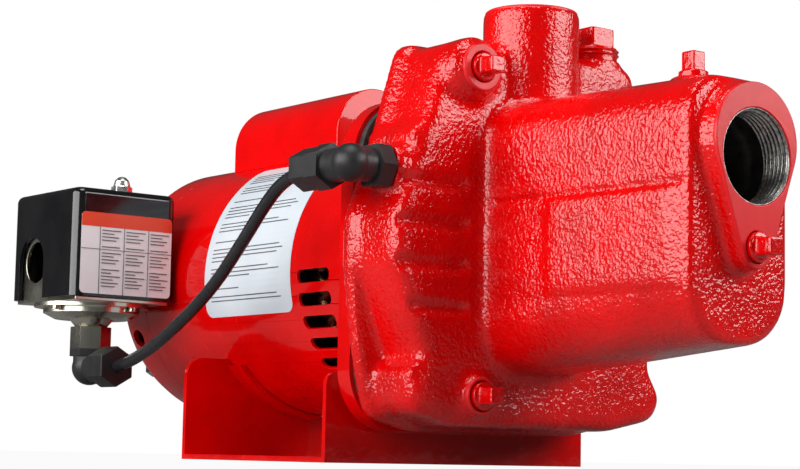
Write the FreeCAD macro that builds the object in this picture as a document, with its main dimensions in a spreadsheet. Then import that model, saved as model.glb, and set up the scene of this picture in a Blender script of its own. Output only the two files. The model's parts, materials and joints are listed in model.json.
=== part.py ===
import FreeCAD, Part
import math
import os
import re

import Sketcher

# Shallow-well jet pump: motor on a folded base, cast pump case with an ejector nose, pressure
# switch and sensing tube.  Millimetres.  +X points out of the suction port along the motor
# shaft, +Z is up, and the origin is the centre of the base's bolt holes on its underside.

doc = FreeCAD.newDocument("JetPump")

SIZES = {
    # base
    "shaft_height": 95, "base_length": 127, "base_width": 165, "base_sheet": 2.7,
    "base_rear_height": 53, "base_front_height": 43, "base_corner": 12,
    "base_hole_radius": 4.4, "base_hole_x": 38.1, "base_hole_y": 62,
    "cradle_lip": 12.3, "cradle_gap": 0.3,
    # motor
    "shell_radius": 70.5, "shell_wall": 2, "shell_rear": -127.5, "shell_front": 68.5,
    "vent_start": 19.5, "vent_length": 27, "vent_height": 6.5, "vent_step": 9.5,
    "bell_depth": 28.5, "bell_wall": 3, "bell_hub": 21.5, "bell_vent": 5, "bell_vent_ring": 45,
    "stator_outer": 68.3, "stator_bore": 40, "stator_rear": -80, "stator_length": 85,
    "winding_outer": 58, "winding_bore": 44, "winding_length": 21,
    "air_gap": 0.4, "shaft_radius": 9, "bolt_ring": 62, "through_bolt": 2.5,
    "front_journal": 8.45, "rear_journal": 7.45, "running_gap": 0.05,
    "front_bearing_radius": 20, "front_bearing_width": 12, "front_bearing_x": 54,
    "rear_bearing_radius": 17.5, "rear_bearing_width": 11, "rear_bearing_x": -146,
    "flange_half": 80, "flange_corner": 30, "flange_thick": 9.5, "flange_hub": 25,
    "fan_x": 30, "fan_width": 12, "fan_radius": 50, "fan_blade": 2,
    "actuator_x": -112, "actuator_length": 10, "actuator_radius": 16, "weight_x": -100,
    "cap_rear": -108, "cap_front": -10, "cap_half": 26, "cap_top": 199, "cap_wall": 1.2,
    "capacitor_radius": 15.5, "capacitor_length": 86,
    # pump case
    "seal_plate_thick": 3.5, "gasket_thick": 1, "case_rear": 82.5, "case_rim": 7.5,
    "case_front": 121.5, "case_wall": 7, "case_top": 201, "case_bottom": 15,
    "chamber_radius": 74, "chamber_half": 50,
    "case_bolt_y": 68, "case_bolt_rise": 55.5, "case_bolt": 5, "bolt_gap": 0.1, "lug_radius": 8,
    "case_inset": 2.5, "case_edge": 6,
    "nose_fillet": 4, "nose_front": 249.5, "nose_rear_half": 36, "nose_front_half": 31,
    "nose_top": 172, "nose_rear_bottom": 42, "nose_front_bottom": 54,
    "panel_start": 164, "panel_end": 240, "panel_bottom": 78, "panel_top": 120, "panel_rise": 1.5,
    "suction_face": 259.3, "suction_height": 134.1, "suction_radius": 21.1,
    "face_arc_height": 141, "face_arc": 26, "face_foot": 10,
    "discharge_x": 113, "discharge_boss": 23.5, "discharge_top": 219.9,
    "discharge_radius": 16.2, "discharge_thread": 28.8, "suction_thread": 24.3,
    "gauge_y": -45, "gauge_height": 185, "gauge_boss": 11.7, "gauge_face": 130.5,
    "drain_y": -38.6, "drain_height": 32, "drain_boss": 9.5, "drain_face": 126,
    "small_thread": 6.7, "thread_gap": 0.05, "small_plug_depth": 12, "small_head": 7.8,
    "small_head_rise": 9, "head_gap": 0.2,
    "prime_x": 111.5, "prime_y": 43, "prime_boss": 13.5, "prime_face": 203.5,
    "shoulder_inner": 20, "shoulder_outer": 60.5, "shoulder_top": 199, "shoulder_proud": 3.5,
    "prime_thread": 12, "prime_head": 15.5, "prime_neck": 5, "prime_head_rise": 10,
    "top_plug_x": 221.5,
    # running parts of the pump
    "impeller_x": 93, "impeller_radius": 58, "impeller_width": 12, "impeller_bore": 6.5,
    "shroud": 2, "eye_radius": 18, "vane": 2.2, "seal_radius": 16, "seal_bore": 9.5,
    "diffuser_x": 107, "diffuser_radius": 66, "diffuser_thick": 6,
    "passage_radius": 17, "venturi_rear": 114, "venturi_length": 78, "venturi_radius": 12,
    "nozzle_x": 196, "nozzle_length": 24, "nozzle_radius": 9,
    # pressure switch
    "switch_x": -127.5, "switch_y": -103, "switch_floor": 84, "switch_top": 141.5,
    "switch_length": 71, "switch_width": 62, "switch_wall": 2, "switch_corner": 6,
    "conduit_x": -140, "conduit_height": 104, "conduit_hole": 11.1, "nipple_radius": 10.9,
    "nipple_bore": 8.5, "arch_radius": 13.5,
    "bracket_sheet": 2, "bracket_length": 65, "bracket_width": 56, "bracket_top": 122,
    "stud_x": -110, "stud_y": -97, "stud_radius": 2.5,
    "pivot_x": -156, "pivot_height": 117, "pivot_pin": 1.5, "lever_sheet": 2,
    "press_flange": 31, "press_body": 26, "press_cup": 22,
    # sensing line
    "tube_radius": 3.175, "fitting_flats": 19, "fitting_body": 8,
    "low_elbow_height": 48, "low_nut_end": -98, "top_elbow_x": 108, "top_elbow_y": -104,
    "top_elbow_height": 136, "top_nut_end": 71,
}

sheet = doc.addObject("Spreadsheet::Sheet", "Sizes")
for row, (alias, number) in enumerate(SIZES.items(), 1):
    sheet.set(f"A{row}", alias)
    sheet.set(f"B{row}", str(number))
    sheet.setAlias(f"B{row}", alias)
doc.recompute()

TURNS = {
    "Z": FreeCAD.Rotation(),
    "-Z": FreeCAD.Rotation(FreeCAD.Vector(1, 0, 0), 180),
    "X": FreeCAD.Rotation(FreeCAD.Vector(0, 1, 0), 90),
    "-X": FreeCAD.Rotation(FreeCAD.Vector(0, 1, 0), -90),
    "Y": FreeCAD.Rotation(FreeCAD.Vector(1, 0, 0), -90),
    "-Y": FreeCAD.Rotation(FreeCAD.Vector(1, 0, 0), 90),
}
NODES = []


def cell(alias):
    """The number in a cell of the sheet."""
    return float(getattr(sheet, alias))


def formula(text):
    """An expression in which every word that is a cell's alias points at the sheet."""
    return re.sub(r"[a-z][a-z_]*", lambda w: "Sizes." + w[0] if w[0] in SIZES else w[0], str(text))


def place(piece, at, along="Z"):
    """Put a piece at a point of the sheet's sizes, its own Z axis turned to another direction."""
    piece.Placement = FreeCAD.Placement(FreeCAD.Vector(), TURNS[along])
    for axis, text in zip("xyz", at):
        piece.setExpression(f"Placement.Base.{axis}", formula(text))
    return piece


def node(piece, label=None):
    """Name a finished sub-part: its label is also its file's name."""
    if label:
        piece.Label = label
    NODES.append(piece)
    return piece


def cylinder(name, radius, length, at, along="Z"):
    piece = doc.addObject("Part::Cylinder", name)
    piece.setExpression("Radius", formula(radius))
    piece.setExpression("Height", formula(length))
    return place(piece, at, along)


def box(name, lengths, low):
    piece = doc.addObject("Part::Box", name)
    for side, text in zip(("Length", "Width", "Height"), lengths):
        piece.setExpression(side, formula(text))
    return place(piece, low)


def hexagon(name, flats, length, at, along="Z"):
    piece = doc.addObject("Part::Prism", name)
    piece.Polygon = 6
    piece.setExpression("Circumradius", formula(f"({flats}) / sqrt(3)"))
    piece.setExpression("Height", formula(length))
    return place(piece, at, along)


def fused(name, pieces):
    piece = doc.addObject("Part::MultiFuse", name)
    piece.Shapes = list(pieces)
    return piece


def cut(name, base, tools):
    piece = doc.addObject("Part::Cut", name)
    piece.Base = base
    piece.Tool = tools[0] if len(tools) == 1 else fused(name + "_holes", tools)
    return piece


def outline(sketch, corners):
    """A closed outline of straight sides, each corner held at its two sizes from the origin."""
    count = len(corners)
    for index in range(count):
        angle = 2 * math.pi * index / count
        after = 2 * math.pi * (index + 1) / count
        first = FreeCAD.Vector(50 + 20 * math.cos(angle), 50 + 20 * math.sin(angle), 0)
        second = FreeCAD.Vector(50 + 20 * math.cos(after), 50 + 20 * math.sin(after), 0)
        sketch.addGeometry(Part.LineSegment(first, second))
    for index in range(count):
        sketch.addConstraint(Sketcher.Constraint("Coincident", index, 2, (index + 1) % count, 1))
    for index, corner in enumerate(corners):
        for text, kind, axis in ((corner[0], "DistanceX", -2), (corner[1], "DistanceY", -1)):
            if str(text) == "0":
                sketch.addConstraint(Sketcher.Constraint("PointOnObject", index, 1, axis))
                continue
            number = sketch.addConstraint(Sketcher.Constraint(kind, -1, 1, index, 1, 40.0 + index))
            sketch.setExpression(f"Constraints[{number}]", formula(text))


def sketched(name, plane, corners):
    """A new body with one sketch of straight sides on one of its origin planes."""
    body = doc.addObject("PartDesign::Body", name)
    sketch = body.newObject("Sketcher::SketchObject", name + "_sketch")
    support = [item for item in body.Origin.OriginFeatures if item.Role == plane][0]
    sketch.AttachmentSupport = (support, [""])
    sketch.MapMode = "FlatFace"
    outline(sketch, corners)
    return body, sketch


def turned(name, profile, at, along="Z"):
    """A body turned about its own Z axis from (radius, height) corners."""
    body, sketch = sketched(name, "XZ_Plane", profile)
    turn = body.newObject("PartDesign::Revolution", name + "_turn")
    turn.Profile = sketch
    turn.ReferenceAxis = (sketch, ["V_Axis"])
    turn.Angle = 360
    return place(body, at, along)


def block(name, plane, corners, depth, at, rounding=None):
    """A body padded from an outline; its upright corners can be rounded."""
    body, sketch = sketched(name, plane, corners)
    pad = body.newObject("PartDesign::Pad", name + "_pad")
    pad.Profile = sketch
    pad.setExpression("Length", formula(depth))
    place(body, at)
    if rounding:
        doc.recompute()
        normal = {"XY_Plane": (0, 0, 1), "YZ_Plane": (1, 0, 0), "XZ_Plane": (0, 1, 0)}[plane]
        upright = []
        for number, edge in enumerate(pad.Shape.Edges, 1):
            if abs(edge.tangentAt(edge.FirstParameter).dot(FreeCAD.Vector(*normal))) > 0.99:
                upright.append(f"Edge{number}")
        fillet = body.newObject("PartDesign::Fillet", name + "_rounding")
        fillet.Base = (pad, upright)
        fillet.setExpression("Radius", formula(rounding))
    return body


def rectangle(half_wide, low, high):
    return [(f"-({half_wide})", low), (half_wide, low), (half_wide, high), (f"-({half_wide})", high)]


def ring(name, outer, bore, length, at, along="Z"):
    return turned(name, [(bore, 0), (outer, 0), (outer, length), (bore, length)], at, along)


def rounded_wire(corners, x):
    """A closed wire across the X axis through (y, z, radius) corners, each rounded by an arc."""
    points = [FreeCAD.Vector(x, y, z) for y, z, radius in corners]
    ends = []
    for index, (y, z, radius) in enumerate(corners):
        here = points[index]
        back = (points[index - 1] - here).normalize()
        ahead = (points[(index + 1) % len(points)] - here).normalize()
        half_turn = (math.pi - back.getAngle(ahead)) / 2
        reach = radius * math.tan(half_turn)
        bisector = (back + ahead).normalize()
        middle = here + bisector * (radius / math.cos(half_turn) - radius)
        ends.append((here + back * reach, middle, here + ahead * reach))
    edges = []
    for index, (start, middle, end) in enumerate(ends):
        edges.append(Part.Arc(start, middle, end).toShape())
        edges.append(Part.LineSegment(end, ends[(index + 1) % len(ends)][0]).toShape())
    return Part.Wire(edges)


def prism(wire, length):
    return Part.Face(wire).extrude(FreeCAD.Vector(length, 0, 0))


def rod(radius, length, at, direction):
    return Part.makeCylinder(radius, length, FreeCAD.Vector(*at), FreeCAD.Vector(*direction))


def shaped(name, shape):
    """A sub-part whose shape is made with Part's own functions."""
    piece = doc.addObject("Part::Feature", name)
    piece.Shape = shape.removeSplitter()
    piece.Placement = FreeCAD.Placement()
    return piece


AXIS = ("0", "0", "shaft_height")


def on_axis(x):
    return (x, "0", "shaft_height")


# ---------------------------------------------------------------- base and motor

def motor_base():
    """A sheet folded into a floor and two upright flanges, with a lipped cradle at the rear."""
    floor = box("base_floor", ("base_length", "base_width", "base_sheet"),
                ("-base_length / 2", "-base_width / 2", "0"))
    rear = block("base_rear", "YZ_Plane", rectangle("base_width / 2", "0", "base_rear_height"),
                 "base_sheet", ("-base_length / 2", "0", "0"), "base_corner - 2")
    front = block("base_front", "YZ_Plane", rectangle("base_width / 2", "0", "base_front_height"),
                  "base_sheet", ("base_length / 2 - base_sheet", "0", "0"), "base_corner / 2")
    feet = []
    for end, x in (("rear", "-base_length / 2"), ("front", "base_length / 2 - base_sheet")):
        feet.append(box(f"base_{end}_foot", ("base_sheet", "base_width", "base_corner"),
                        (x, "-base_width / 2", "0")))
    hug = cylinder("base_hug", "shell_radius + cradle_gap + base_sheet", "cradle_lip",
                   on_axis("-base_length / 2 + base_sheet"), "X")
    reach = box("base_hug_reach", ("cradle_lip", "base_width", "base_rear_height - 6"),
                ("-base_length / 2 + base_sheet", "-base_width / 2", "base_sheet"))
    lip = doc.addObject("Part::MultiCommon", "base_lip")
    lip.Shapes = [hug, reach]
    bed = cylinder("base_bed", "shell_radius + cradle_gap", "base_length + 2",
                   on_axis("-base_length / 2 - 1"), "X")
    holes = [bed]
    for x in ("-base_hole_x", "base_hole_x"):
        for y in ("-base_hole_y", "base_hole_y"):
            holes.append(cylinder("base_hole", "base_hole_radius", "base_sheet * 3",
                                  (x, y, "-base_sheet")))
    solid = fused("base_solid", [floor, rear, front, lip] + feet)
    node(cut("base_cut", solid, holes), "motor_base")


def motor_shell():
    tube = ring("shell_tube", "shell_radius", "shell_radius - shell_wall",
                "shell_front - shell_rear", on_axis("shell_rear"), "X")
    vents = []
    for side in (-1, 1):
        for step in range(5):
            angle = -3 - step * cell("vent_step")
            vent = block("shell_vent", "XY_Plane",
                         [(0, "-vent_height / 2"), ("vent_length", "-vent_height / 2"),
                          ("vent_length", "vent_height / 2"), (0, "vent_height / 2")],
                         "shell_wall * 5", on_axis("vent_start"), "vent_height / 2.3")
            outward = FreeCAD.Rotation(FreeCAD.Vector(1, 0, 0), 90 if side < 0 else -90)
            tilt = FreeCAD.Rotation(FreeCAD.Vector(1, 0, 0), -side * -angle)
            direction = tilt.multVec(FreeCAD.Vector(0, side, 0))
            vent.Placement = FreeCAD.Placement(FreeCAD.Vector(), tilt * outward)
            vent.setExpression("Placement.Base.y", formula(f"{direction.y} * (shell_radius - 5)"))
            vent.setExpression("Placement.Base.z",
                               formula(f"shaft_height + {direction.z} * (shell_radius - 5)"))
            vents.append(vent)
    vents.append(cylinder("shell_lead_hole", "8", "20", ("cap_rear + 14", "0", "shaft_height + 60")))
    node(cut("shell_cut", tube, vents), "motor_shell")


def rear_end_bell():
    bell = turned("bell_cup", [
        (0, "bell_depth"), ("shell_radius - 9", "bell_depth"),
        ("shell_radius - 2.5", "bell_depth - 2.5"), ("shell_radius", "bell_depth - 9"),
        ("shell_radius", 0), ("shell_radius - bell_wall", 0),
        ("shell_radius - bell_wall", "bell_depth - 9"),
        ("shell_radius - 5", "bell_depth - 5"), ("shell_radius - 10", "bell_depth - bell_wall"),
        ("bell_hub", "bell_depth - bell_wall"), ("bell_hub", "6.5"),
        ("rear_bearing_radius", "6.5"), ("rear_bearing_radius", "18.5"), (0, "18.5"),
    ], on_axis("shell_rear"), "-X")
    holes = [cylinder("bell_conduit", "conduit_hole", "30",
                      ("conduit_x", "-shell_radius - 10", "conduit_height"), "Y")]
    for step in range(8):
        turn = f"{45 * step + 22.5}"
        holes.append(cylinder("bell_vent", "bell_vent", "20", (
            "shell_rear - bell_depth - 2", f"bell_vent_ring * cos({turn})",
            f"shaft_height + bell_vent_ring * sin({turn})"), "X"))
    for side in (-1, 1):
        down = 24
        vent = cylinder("bell_side_vent", "bell_vent", "20",
                        ("shell_rear - 14", f"{side} * 55 * cos({down})",
                         f"shaft_height - 55 * sin({down})"))
        tilt = FreeCAD.Rotation(FreeCAD.Vector(1, 0, 0), side * -(90 + down))
        vent.Placement = FreeCAD.Placement(FreeCAD.Vector(), tilt)
        holes.append(vent)
    holes += bolt_rods("bell_bolt_hole", "through_bolt + bolt_gap", "40", "shell_rear - bell_depth - 5")
    node(cut("bell_cut", bell, holes), "rear_end_bell")


def bolt_rods(name, radius, length, x):
    """Four rods along X on the through-bolt ring."""
    rods = []
    for turn in (45, 135, 225, 315):
        rods.append(cylinder(name, radius, length, (
            x, f"bolt_ring * cos({turn})", f"shaft_height + bolt_ring * sin({turn})"), "X"))
    return rods


def through_bolts():
    pieces = bolt_rods("through_rod", "through_bolt",
                       "shell_front + 6 - shell_rear + bell_depth", "shell_rear - bell_depth")
    for turn in (45, 135, 225, 315):
        pieces.append(hexagon("through_head", "9", "4", (
            "shell_rear - bell_depth - 4", f"bolt_ring * cos({turn})",
            f"shaft_height + bolt_ring * sin({turn})"), "X"))
    node(fused("through_bolt_set", pieces), "through_bolts")


def motor_flange():
    plate = block("flange_plate", "YZ_Plane", rectangle("flange_half", "-flange_half", "flange_half"),
                  "flange_thick", on_axis("shell_front"), "flange_corner")
    hub = cylinder("flange_hub", "flange_hub", "shell_front + 1 - front_bearing_x + 2",
                   on_axis("front_bearing_x - 2"), "X")
    holes = [
        cylinder("flange_seat", "front_bearing_radius", "front_bearing_width + 2",
                 on_axis("front_bearing_x - 2"), "X"),
        cylinder("flange_bore", "12", "60", on_axis("front_bearing_x - 4"), "X"),
    ]
    for y in ("-52 - 11", "52 - 11"):
        holes.append(block("flange_window", "YZ_Plane",
                           [(y, "57"), (f"{y} + 22", "57"), (f"{y} + 22", "71"), (y, "71")],
                           "flange_thick + 4", on_axis("shell_front - 2"), "4"))
    holes += case_bolt_rods("flange_bolt_hole", "case_bolt + bolt_gap", "shell_front - 2", "20")
    holes += bolt_rods("flange_tap", "through_bolt", "6", "shell_front")
    node(cut("flange_cut", fused("flange_solid", [plate, hub]), holes), "motor_flange")


def case_bolt_rods(name, radius, x, length):
    """Four rods along X where the case is bolted to the motor."""
    rods = []
    for y in ("-case_bolt_y", "case_bolt_y"):
        for z in ("shaft_height - case_bolt_rise", "shaft_height + case_bolt_rise"):
            rods.append(cylinder(name, radius, length, (x, y, z), "X"))
    return rods


def case_bolts():
    pieces = case_bolt_rods("case_bolt_rod", "case_bolt", "shell_front - 1", "38")
    for y in ("-case_bolt_y", "case_bolt_y"):
        for z in ("shaft_height - case_bolt_rise", "shaft_height + case_bolt_rise"):
            pieces.append(hexagon("case_bolt_head", "15", "3.5", ("shell_front - 4.5", y, z), "X"))
            pieces.append(cylinder("case_washer", "9", "1", ("shell_front - 1", y, z), "X"))
    node(fused("case_bolt_set", pieces), "case_bolts")


def motor_inside():
    """Stator, windings, rotor, shaft, bearings, fan, actuator, switch board."""
    stator = ring("stator_ring", "stator_outer", "stator_bore", "stator_length",
                  on_axis("stator_rear"), "X")
    node(cut("stator_cut", stator, bolt_rods("stator_hole", "through_bolt + bolt_gap",
                                             "stator_length + 2", "stator_rear - 1")), "stator_core")
    front = ring("winding_front", "winding_outer", "winding_bore", "winding_length",
                 on_axis("stator_rear + stator_length"), "X")
    rear = ring("winding_rear", "winding_outer", "winding_bore", "winding_length",
                on_axis("stator_rear - winding_length"), "X")
    node(front, "winding_front")
    node(rear, "winding_rear")
    node(ring("rotor_ring", "stator_bore - air_gap", "shaft_radius", "stator_length",
              on_axis("stator_rear"), "X"), "rotor_core")
    node(turned("shaft_bar", [
        (0, 0), ("rear_journal", 0), ("rear_journal", "11.5"), ("shaft_radius", "11.5"),
        ("shaft_radius", "front_bearing_x - rear_bearing_x"),
        ("front_journal", "front_bearing_x - rear_bearing_x"),
        ("front_journal", "front_bearing_x + 14 - rear_bearing_x"),
        ("7.9", "front_bearing_x + 14 - rear_bearing_x"), ("7.9", "impeller_x - rear_bearing_x"),
        ("impeller_bore", "impeller_x - rear_bearing_x"),
        ("impeller_bore", "impeller_x + impeller_width - 4 - rear_bearing_x"),
        (0, "impeller_x + impeller_width - 4 - rear_bearing_x"),
    ], on_axis("rear_bearing_x"), "X"), "motor_shaft")
    node(ring("front_bearing_ring", "front_bearing_radius", "front_journal + running_gap",
              "front_bearing_width", on_axis("front_bearing_x"), "X"), "front_bearing")
    node(ring("rear_bearing_ring", "rear_bearing_radius", "rear_journal + running_gap",
              "rear_bearing_width", on_axis("rear_bearing_x"), "X"), "rear_bearing")
    node(ring("weight_plate", "30", "shaft_radius", "4", on_axis("weight_x"), "X"),
         "centrifugal_weights")
    node(turned("actuator_collar", [
        ("shaft_radius + running_gap", 0), ("actuator_radius", 0), ("actuator_radius", 3),
        (12, 3), (12, "actuator_length"), ("shaft_radius + running_gap", "actuator_length"),
    ], on_axis("actuator_x"), "X"), "start_actuator")
    node(block("start_board", "YZ_Plane", [("-30", "26"), ("30", "26"), ("30", "52"), ("-30", "52")],
               "2.5", on_axis("shell_rear + 3"), "4"), "start_switch_board")


def cooling_fan():
    """A hub with ten straight blades in a polar pattern."""
    body, sketch = sketched("fan_body", "XY_Plane", [
        ("shaft_radius + 3", "-fan_blade / 2"), ("fan_radius", "-fan_blade / 2"),
        ("fan_radius", "fan_blade / 2"), ("shaft_radius + 3", "fan_blade / 2")])
    blade = body.newObject("PartDesign::Pad", "fan_blade_pad")
    blade.Profile = sketch
    blade.setExpression("Length", formula("fan_width"))
    pattern = body.newObject("PartDesign::PolarPattern", "fan_pattern")
    pattern.Originals = [blade]
    pattern.Axis = (sketch, ["N_Axis"])
    pattern.Angle = 360
    pattern.Occurrences = 10
    body.Tip = pattern
    place(body, on_axis("fan_x"), "X")
    hub = ring("fan_hub", "shaft_radius + 5", "shaft_radius", "fan_width", on_axis("fan_x"), "X")
    disc = ring("fan_disc", "fan_radius", "shaft_radius", "1.5", on_axis("fan_x"), "X")
    node(fused("fan_set", [body, hub, disc]), "cooling_fan")


def capacitor_housing():
    """An arched cover seated on the shell, and the can inside it."""
    def arch(name, half, top, x, length):
        post = box(name + "_post", (length, f"2 * ({half})", f"{top} - ({half}) - shaft_height"),
                   (x, f"-({half})", "shaft_height"))
        crown = cylinder(name + "_crown", half, length, (x, "0", f"{top} - ({half})"), "X")
        return fused(name, [post, crown])
    outer = arch("cap_outer", "cap_half", "cap_top", "cap_rear", "cap_front - cap_rear")
    inner = arch("cap_inner", "cap_half - cap_wall", "cap_top - cap_wall",
                 "cap_rear + cap_wall", "cap_front - cap_rear - 2 * cap_wall")
    seat = cylinder("cap_seat", "shell_radius", "cap_front - cap_rear + 2",
                    on_axis("cap_rear - 1"), "X")
    node(cut("cap_cut", outer, [inner, seat]), "capacitor_cover")
    node(turned("capacitor_can", [
        (0, 0), ("capacitor_radius", 0), ("capacitor_radius", "capacitor_length"),
        ("capacitor_radius - 3", "capacitor_length"), ("capacitor_radius - 3", "capacitor_length + 2"),
        (0, "capacitor_length + 2"),
    ], ("cap_rear + 5", "0", "shaft_height + shell_radius + capacitor_radius + 0.3"), "X"),
        "start_capacitor")


# ---------------------------------------------------------------- pump case

def case_corners(inset, waist_right=(83, 52), waist_left=(84, 55)):
    """The case's outline as (y, z, rounding): both flanks share the shoulder, and the lug by the
    lower right bolt stands wider than the left one."""
    top = cell("case_top") - inset
    low = cell("case_bottom") + inset
    shoulder = [(60 - inset, top, 10), (73 - inset, 158, 40), (89 - inset, 113, 25),
                (89 - inset, 92, 25)]
    right = shoulder + [(waist_right[0] - inset, waist_right[1], 9), (88 - inset, 35, 9),
                        (82 - inset, low + 6, 10), (50, low, 30)]
    left = shoulder + [(waist_left[0] - inset, waist_left[1], 9), (79 - inset, 33, 9),
                       (75 - inset, low + 6, 10), (50, low, 25)]
    return right + [(-y, z, rounding) for y, z, rounding in reversed(left)]


def pump_case():
    """One casting: rim, body, lugs, bosses, ejector nose and suction face, all bored."""
    rear, front, wall = cell("case_rear"), cell("case_front"), cell("case_wall")
    shaft, face = cell("shaft_height"), cell("suction_face")
    rim = prism(rounded_wire(case_corners(0), rear), cell("case_rim"))
    body_outline = case_corners(cell("case_inset"), waist_right=(78, 50), waist_left=(71.5, 49))
    body = prism(rounded_wire(body_outline, rear), front - rear)
    front_edges = []
    for edge in body.Edges:
        if all(abs(vertex.X - front) < 0.01 for vertex in edge.Vertexes):
            front_edges.append(edge)
    body = body.makeFillet(cell("case_edge"), front_edges)
    solid = rim.fuse(body)

    def nose_wire(x, half, low, high):
        return rounded_wire([(half, low, 26), (half, high, 20), (-half, high, 20),
                             (-half, low, 26)], x)
    nose_front = cell("nose_front")
    nose = Part.makeLoft([
        nose_wire(front - 10, cell("nose_rear_half"), cell("nose_rear_bottom"), cell("nose_top")),
        nose_wire(nose_front, cell("nose_front_half"), cell("nose_front_bottom"),
                  cell("nose_top") - 2)], True, True)
    for side in (-1, 1):
        nose = nose.fuse(blank_panel(side))
    solid = solid.fuse(nose)
    root_edges = []
    for edge in solid.Edges:
        spots = [vertex.Point for vertex in edge.Vertexes]
        at_front = all(abs(spot.x - front) < 0.01 for spot in spots)
        if at_front and all(abs(spot.y) < 40 and 40 < spot.z < 175 for spot in spots):
            root_edges.append(edge)
    solid = solid.makeFillet(cell("nose_fillet"), root_edges)
    solid = solid.fuse(suction_boss())
    for y in (-1, 1):
        for z in (-1, 1):
            at = (rear, y * cell("case_bolt_y"), shaft + z * cell("case_bolt_rise"))
            solid = solid.fuse(rod(cell("lug_radius"), front - rear - 3, at, (1, 0, 0)))
    solid = solid.fuse(shoulder_block())
    bosses = [
        (cell("discharge_boss"), cell("discharge_top") - 150, (cell("discharge_x"), 0, 150),
         (0, 0, 1)),
        (cell("prime_boss"), 18, (cell("prime_x"), cell("prime_y"), cell("prime_face") - 18),
         (0, 0, 1)),
        (cell("gauge_boss"), 18, (cell("gauge_face") - 18, cell("gauge_y"), cell("gauge_height")),
         (1, 0, 0)),
        (cell("gauge_boss") + 3.6, 12, (cell("gauge_face") - 16, cell("gauge_y"),
                                        cell("gauge_height")), (1, 0, 0)),
        (cell("drain_boss"), 14, (cell("drain_face") - 14, cell("drain_y"), cell("drain_height")),
         (1, 0, 0)),
        (10, 14, (cell("top_plug_x"), 0, cell("nose_top") - 12), (0, 0, 1)),
        (11, 10, (cell("top_elbow_x"), -85, cell("top_elbow_height")), (0, 1, 0)),
    ]
    for radius, length, at, direction in bosses:
        solid = solid.fuse(rod(radius, length, at, direction))
    thread = cell("small_thread")
    passage = cell("passage_radius")
    reach = front - wall - rear + 1
    chamber = rod(cell("chamber_radius"), reach, (rear - 1, 0, shaft), (1, 0, 0))
    half = cell("chamber_half")
    top_room = Part.makeBox(reach, 2 * half, cell("case_top") - wall - 3 - shaft,
                            FreeCAD.Vector(rear - 1, -half, shaft))
    chamber = chamber.fuse(top_room)
    bores = [
        chamber,
        rod(passage, 125, (front - wall - 1, 0, shaft), (1, 0, 0)),
        rod(cell("suction_radius"), cell("suction_thread"),
            (face - cell("suction_thread"), 0, cell("suction_height")), (1, 0, 0)),
        rod(cell("suction_radius") - 2, 44.3, (face - 44.3, 0, cell("suction_height")), (1, 0, 0)),
        Part.makeBox(20, 30, cell("suction_height") - shaft,
                     FreeCAD.Vector(face - 44.3, -15, shaft)),
        rod(thread, 40, (face - 40, 0, shaft), (1, 0, 0)),
        rod(cell("discharge_radius"), cell("discharge_thread"),
            (cell("discharge_x"), 0, cell("discharge_top") - cell("discharge_thread")), (0, 0, 1)),
        rod(cell("discharge_radius") - 1.5, 40,
            (cell("discharge_x"), 0, cell("discharge_top") - 40), (0, 0, 1)),
        rod(cell("prime_thread"), 20, (cell("prime_x"), cell("prime_y"), cell("prime_face") - 20),
            (0, 0, 1)),
        rod(thread, 30, (cell("gauge_face") - 30, cell("gauge_y"), cell("gauge_height")), (1, 0, 0)),
        rod(thread, 30, (cell("drain_face") - 30, cell("drain_y"), cell("drain_height")), (1, 0, 0)),
        rod(thread, 30, (cell("top_plug_x"), 0, cell("nose_top") + 2 - 30), (0, 0, 1)),
        rod(thread, 30, (cell("top_elbow_x"), -90, cell("top_elbow_height")), (0, 1, 0)),
    ]
    for y in (-1, 1):
        for z in (-1, 1):
            at = (rear - 1, y * cell("case_bolt_y"), shaft + z * cell("case_bolt_rise"))
            bores.append(rod(cell("case_bolt") + cell("bolt_gap"), 25, at, (1, 0, 0)))
    for bore in bores:
        solid = solid.cut(bore)
    node(shaped("case_casting", solid), "pump_case")


def shoulder_block():
    """The rounded block beside the discharge boss that carries the priming plug."""
    low, high, top = cell("shoulder_inner"), cell("shoulder_outer"), cell("shoulder_top")
    front = cell("case_front") + cell("shoulder_proud")
    corners = [(low, 150, 5), (high, 150, 5), (high, top, 9), (low, top, 5)]
    length = front - cell("case_rear") - cell("case_rim")
    block_solid = prism(rounded_wire(corners, front - length), length)
    front_edges = [edge for edge in block_solid.Edges
                   if all(abs(vertex.X - front) < 0.01 for vertex in edge.Vertexes)]
    return block_solid.makeFillet(4, front_edges)


def blank_panel(side):
    """A plain raised panel on one flank of the nose, following its taper."""
    low, high = cell("panel_bottom"), cell("panel_top")
    start, end = cell("panel_start"), cell("panel_end")
    taper = (cell("nose_rear_half") - cell("nose_front_half")) / (cell("nose_front") - start + 52)
    corners = []
    for x, inward in ((start, 4), (end, 4), (end, -cell("panel_rise")), (start, -cell("panel_rise"))):
        half = cell("nose_front_half") + taper * (cell("nose_front") - x) - inward
        corners.append(FreeCAD.Vector(x, side * half, low))
    wire = Part.makePolygon(corners + corners[:1])
    return Part.Face(wire).extrude(FreeCAD.Vector(0, 0, high - low))


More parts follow.
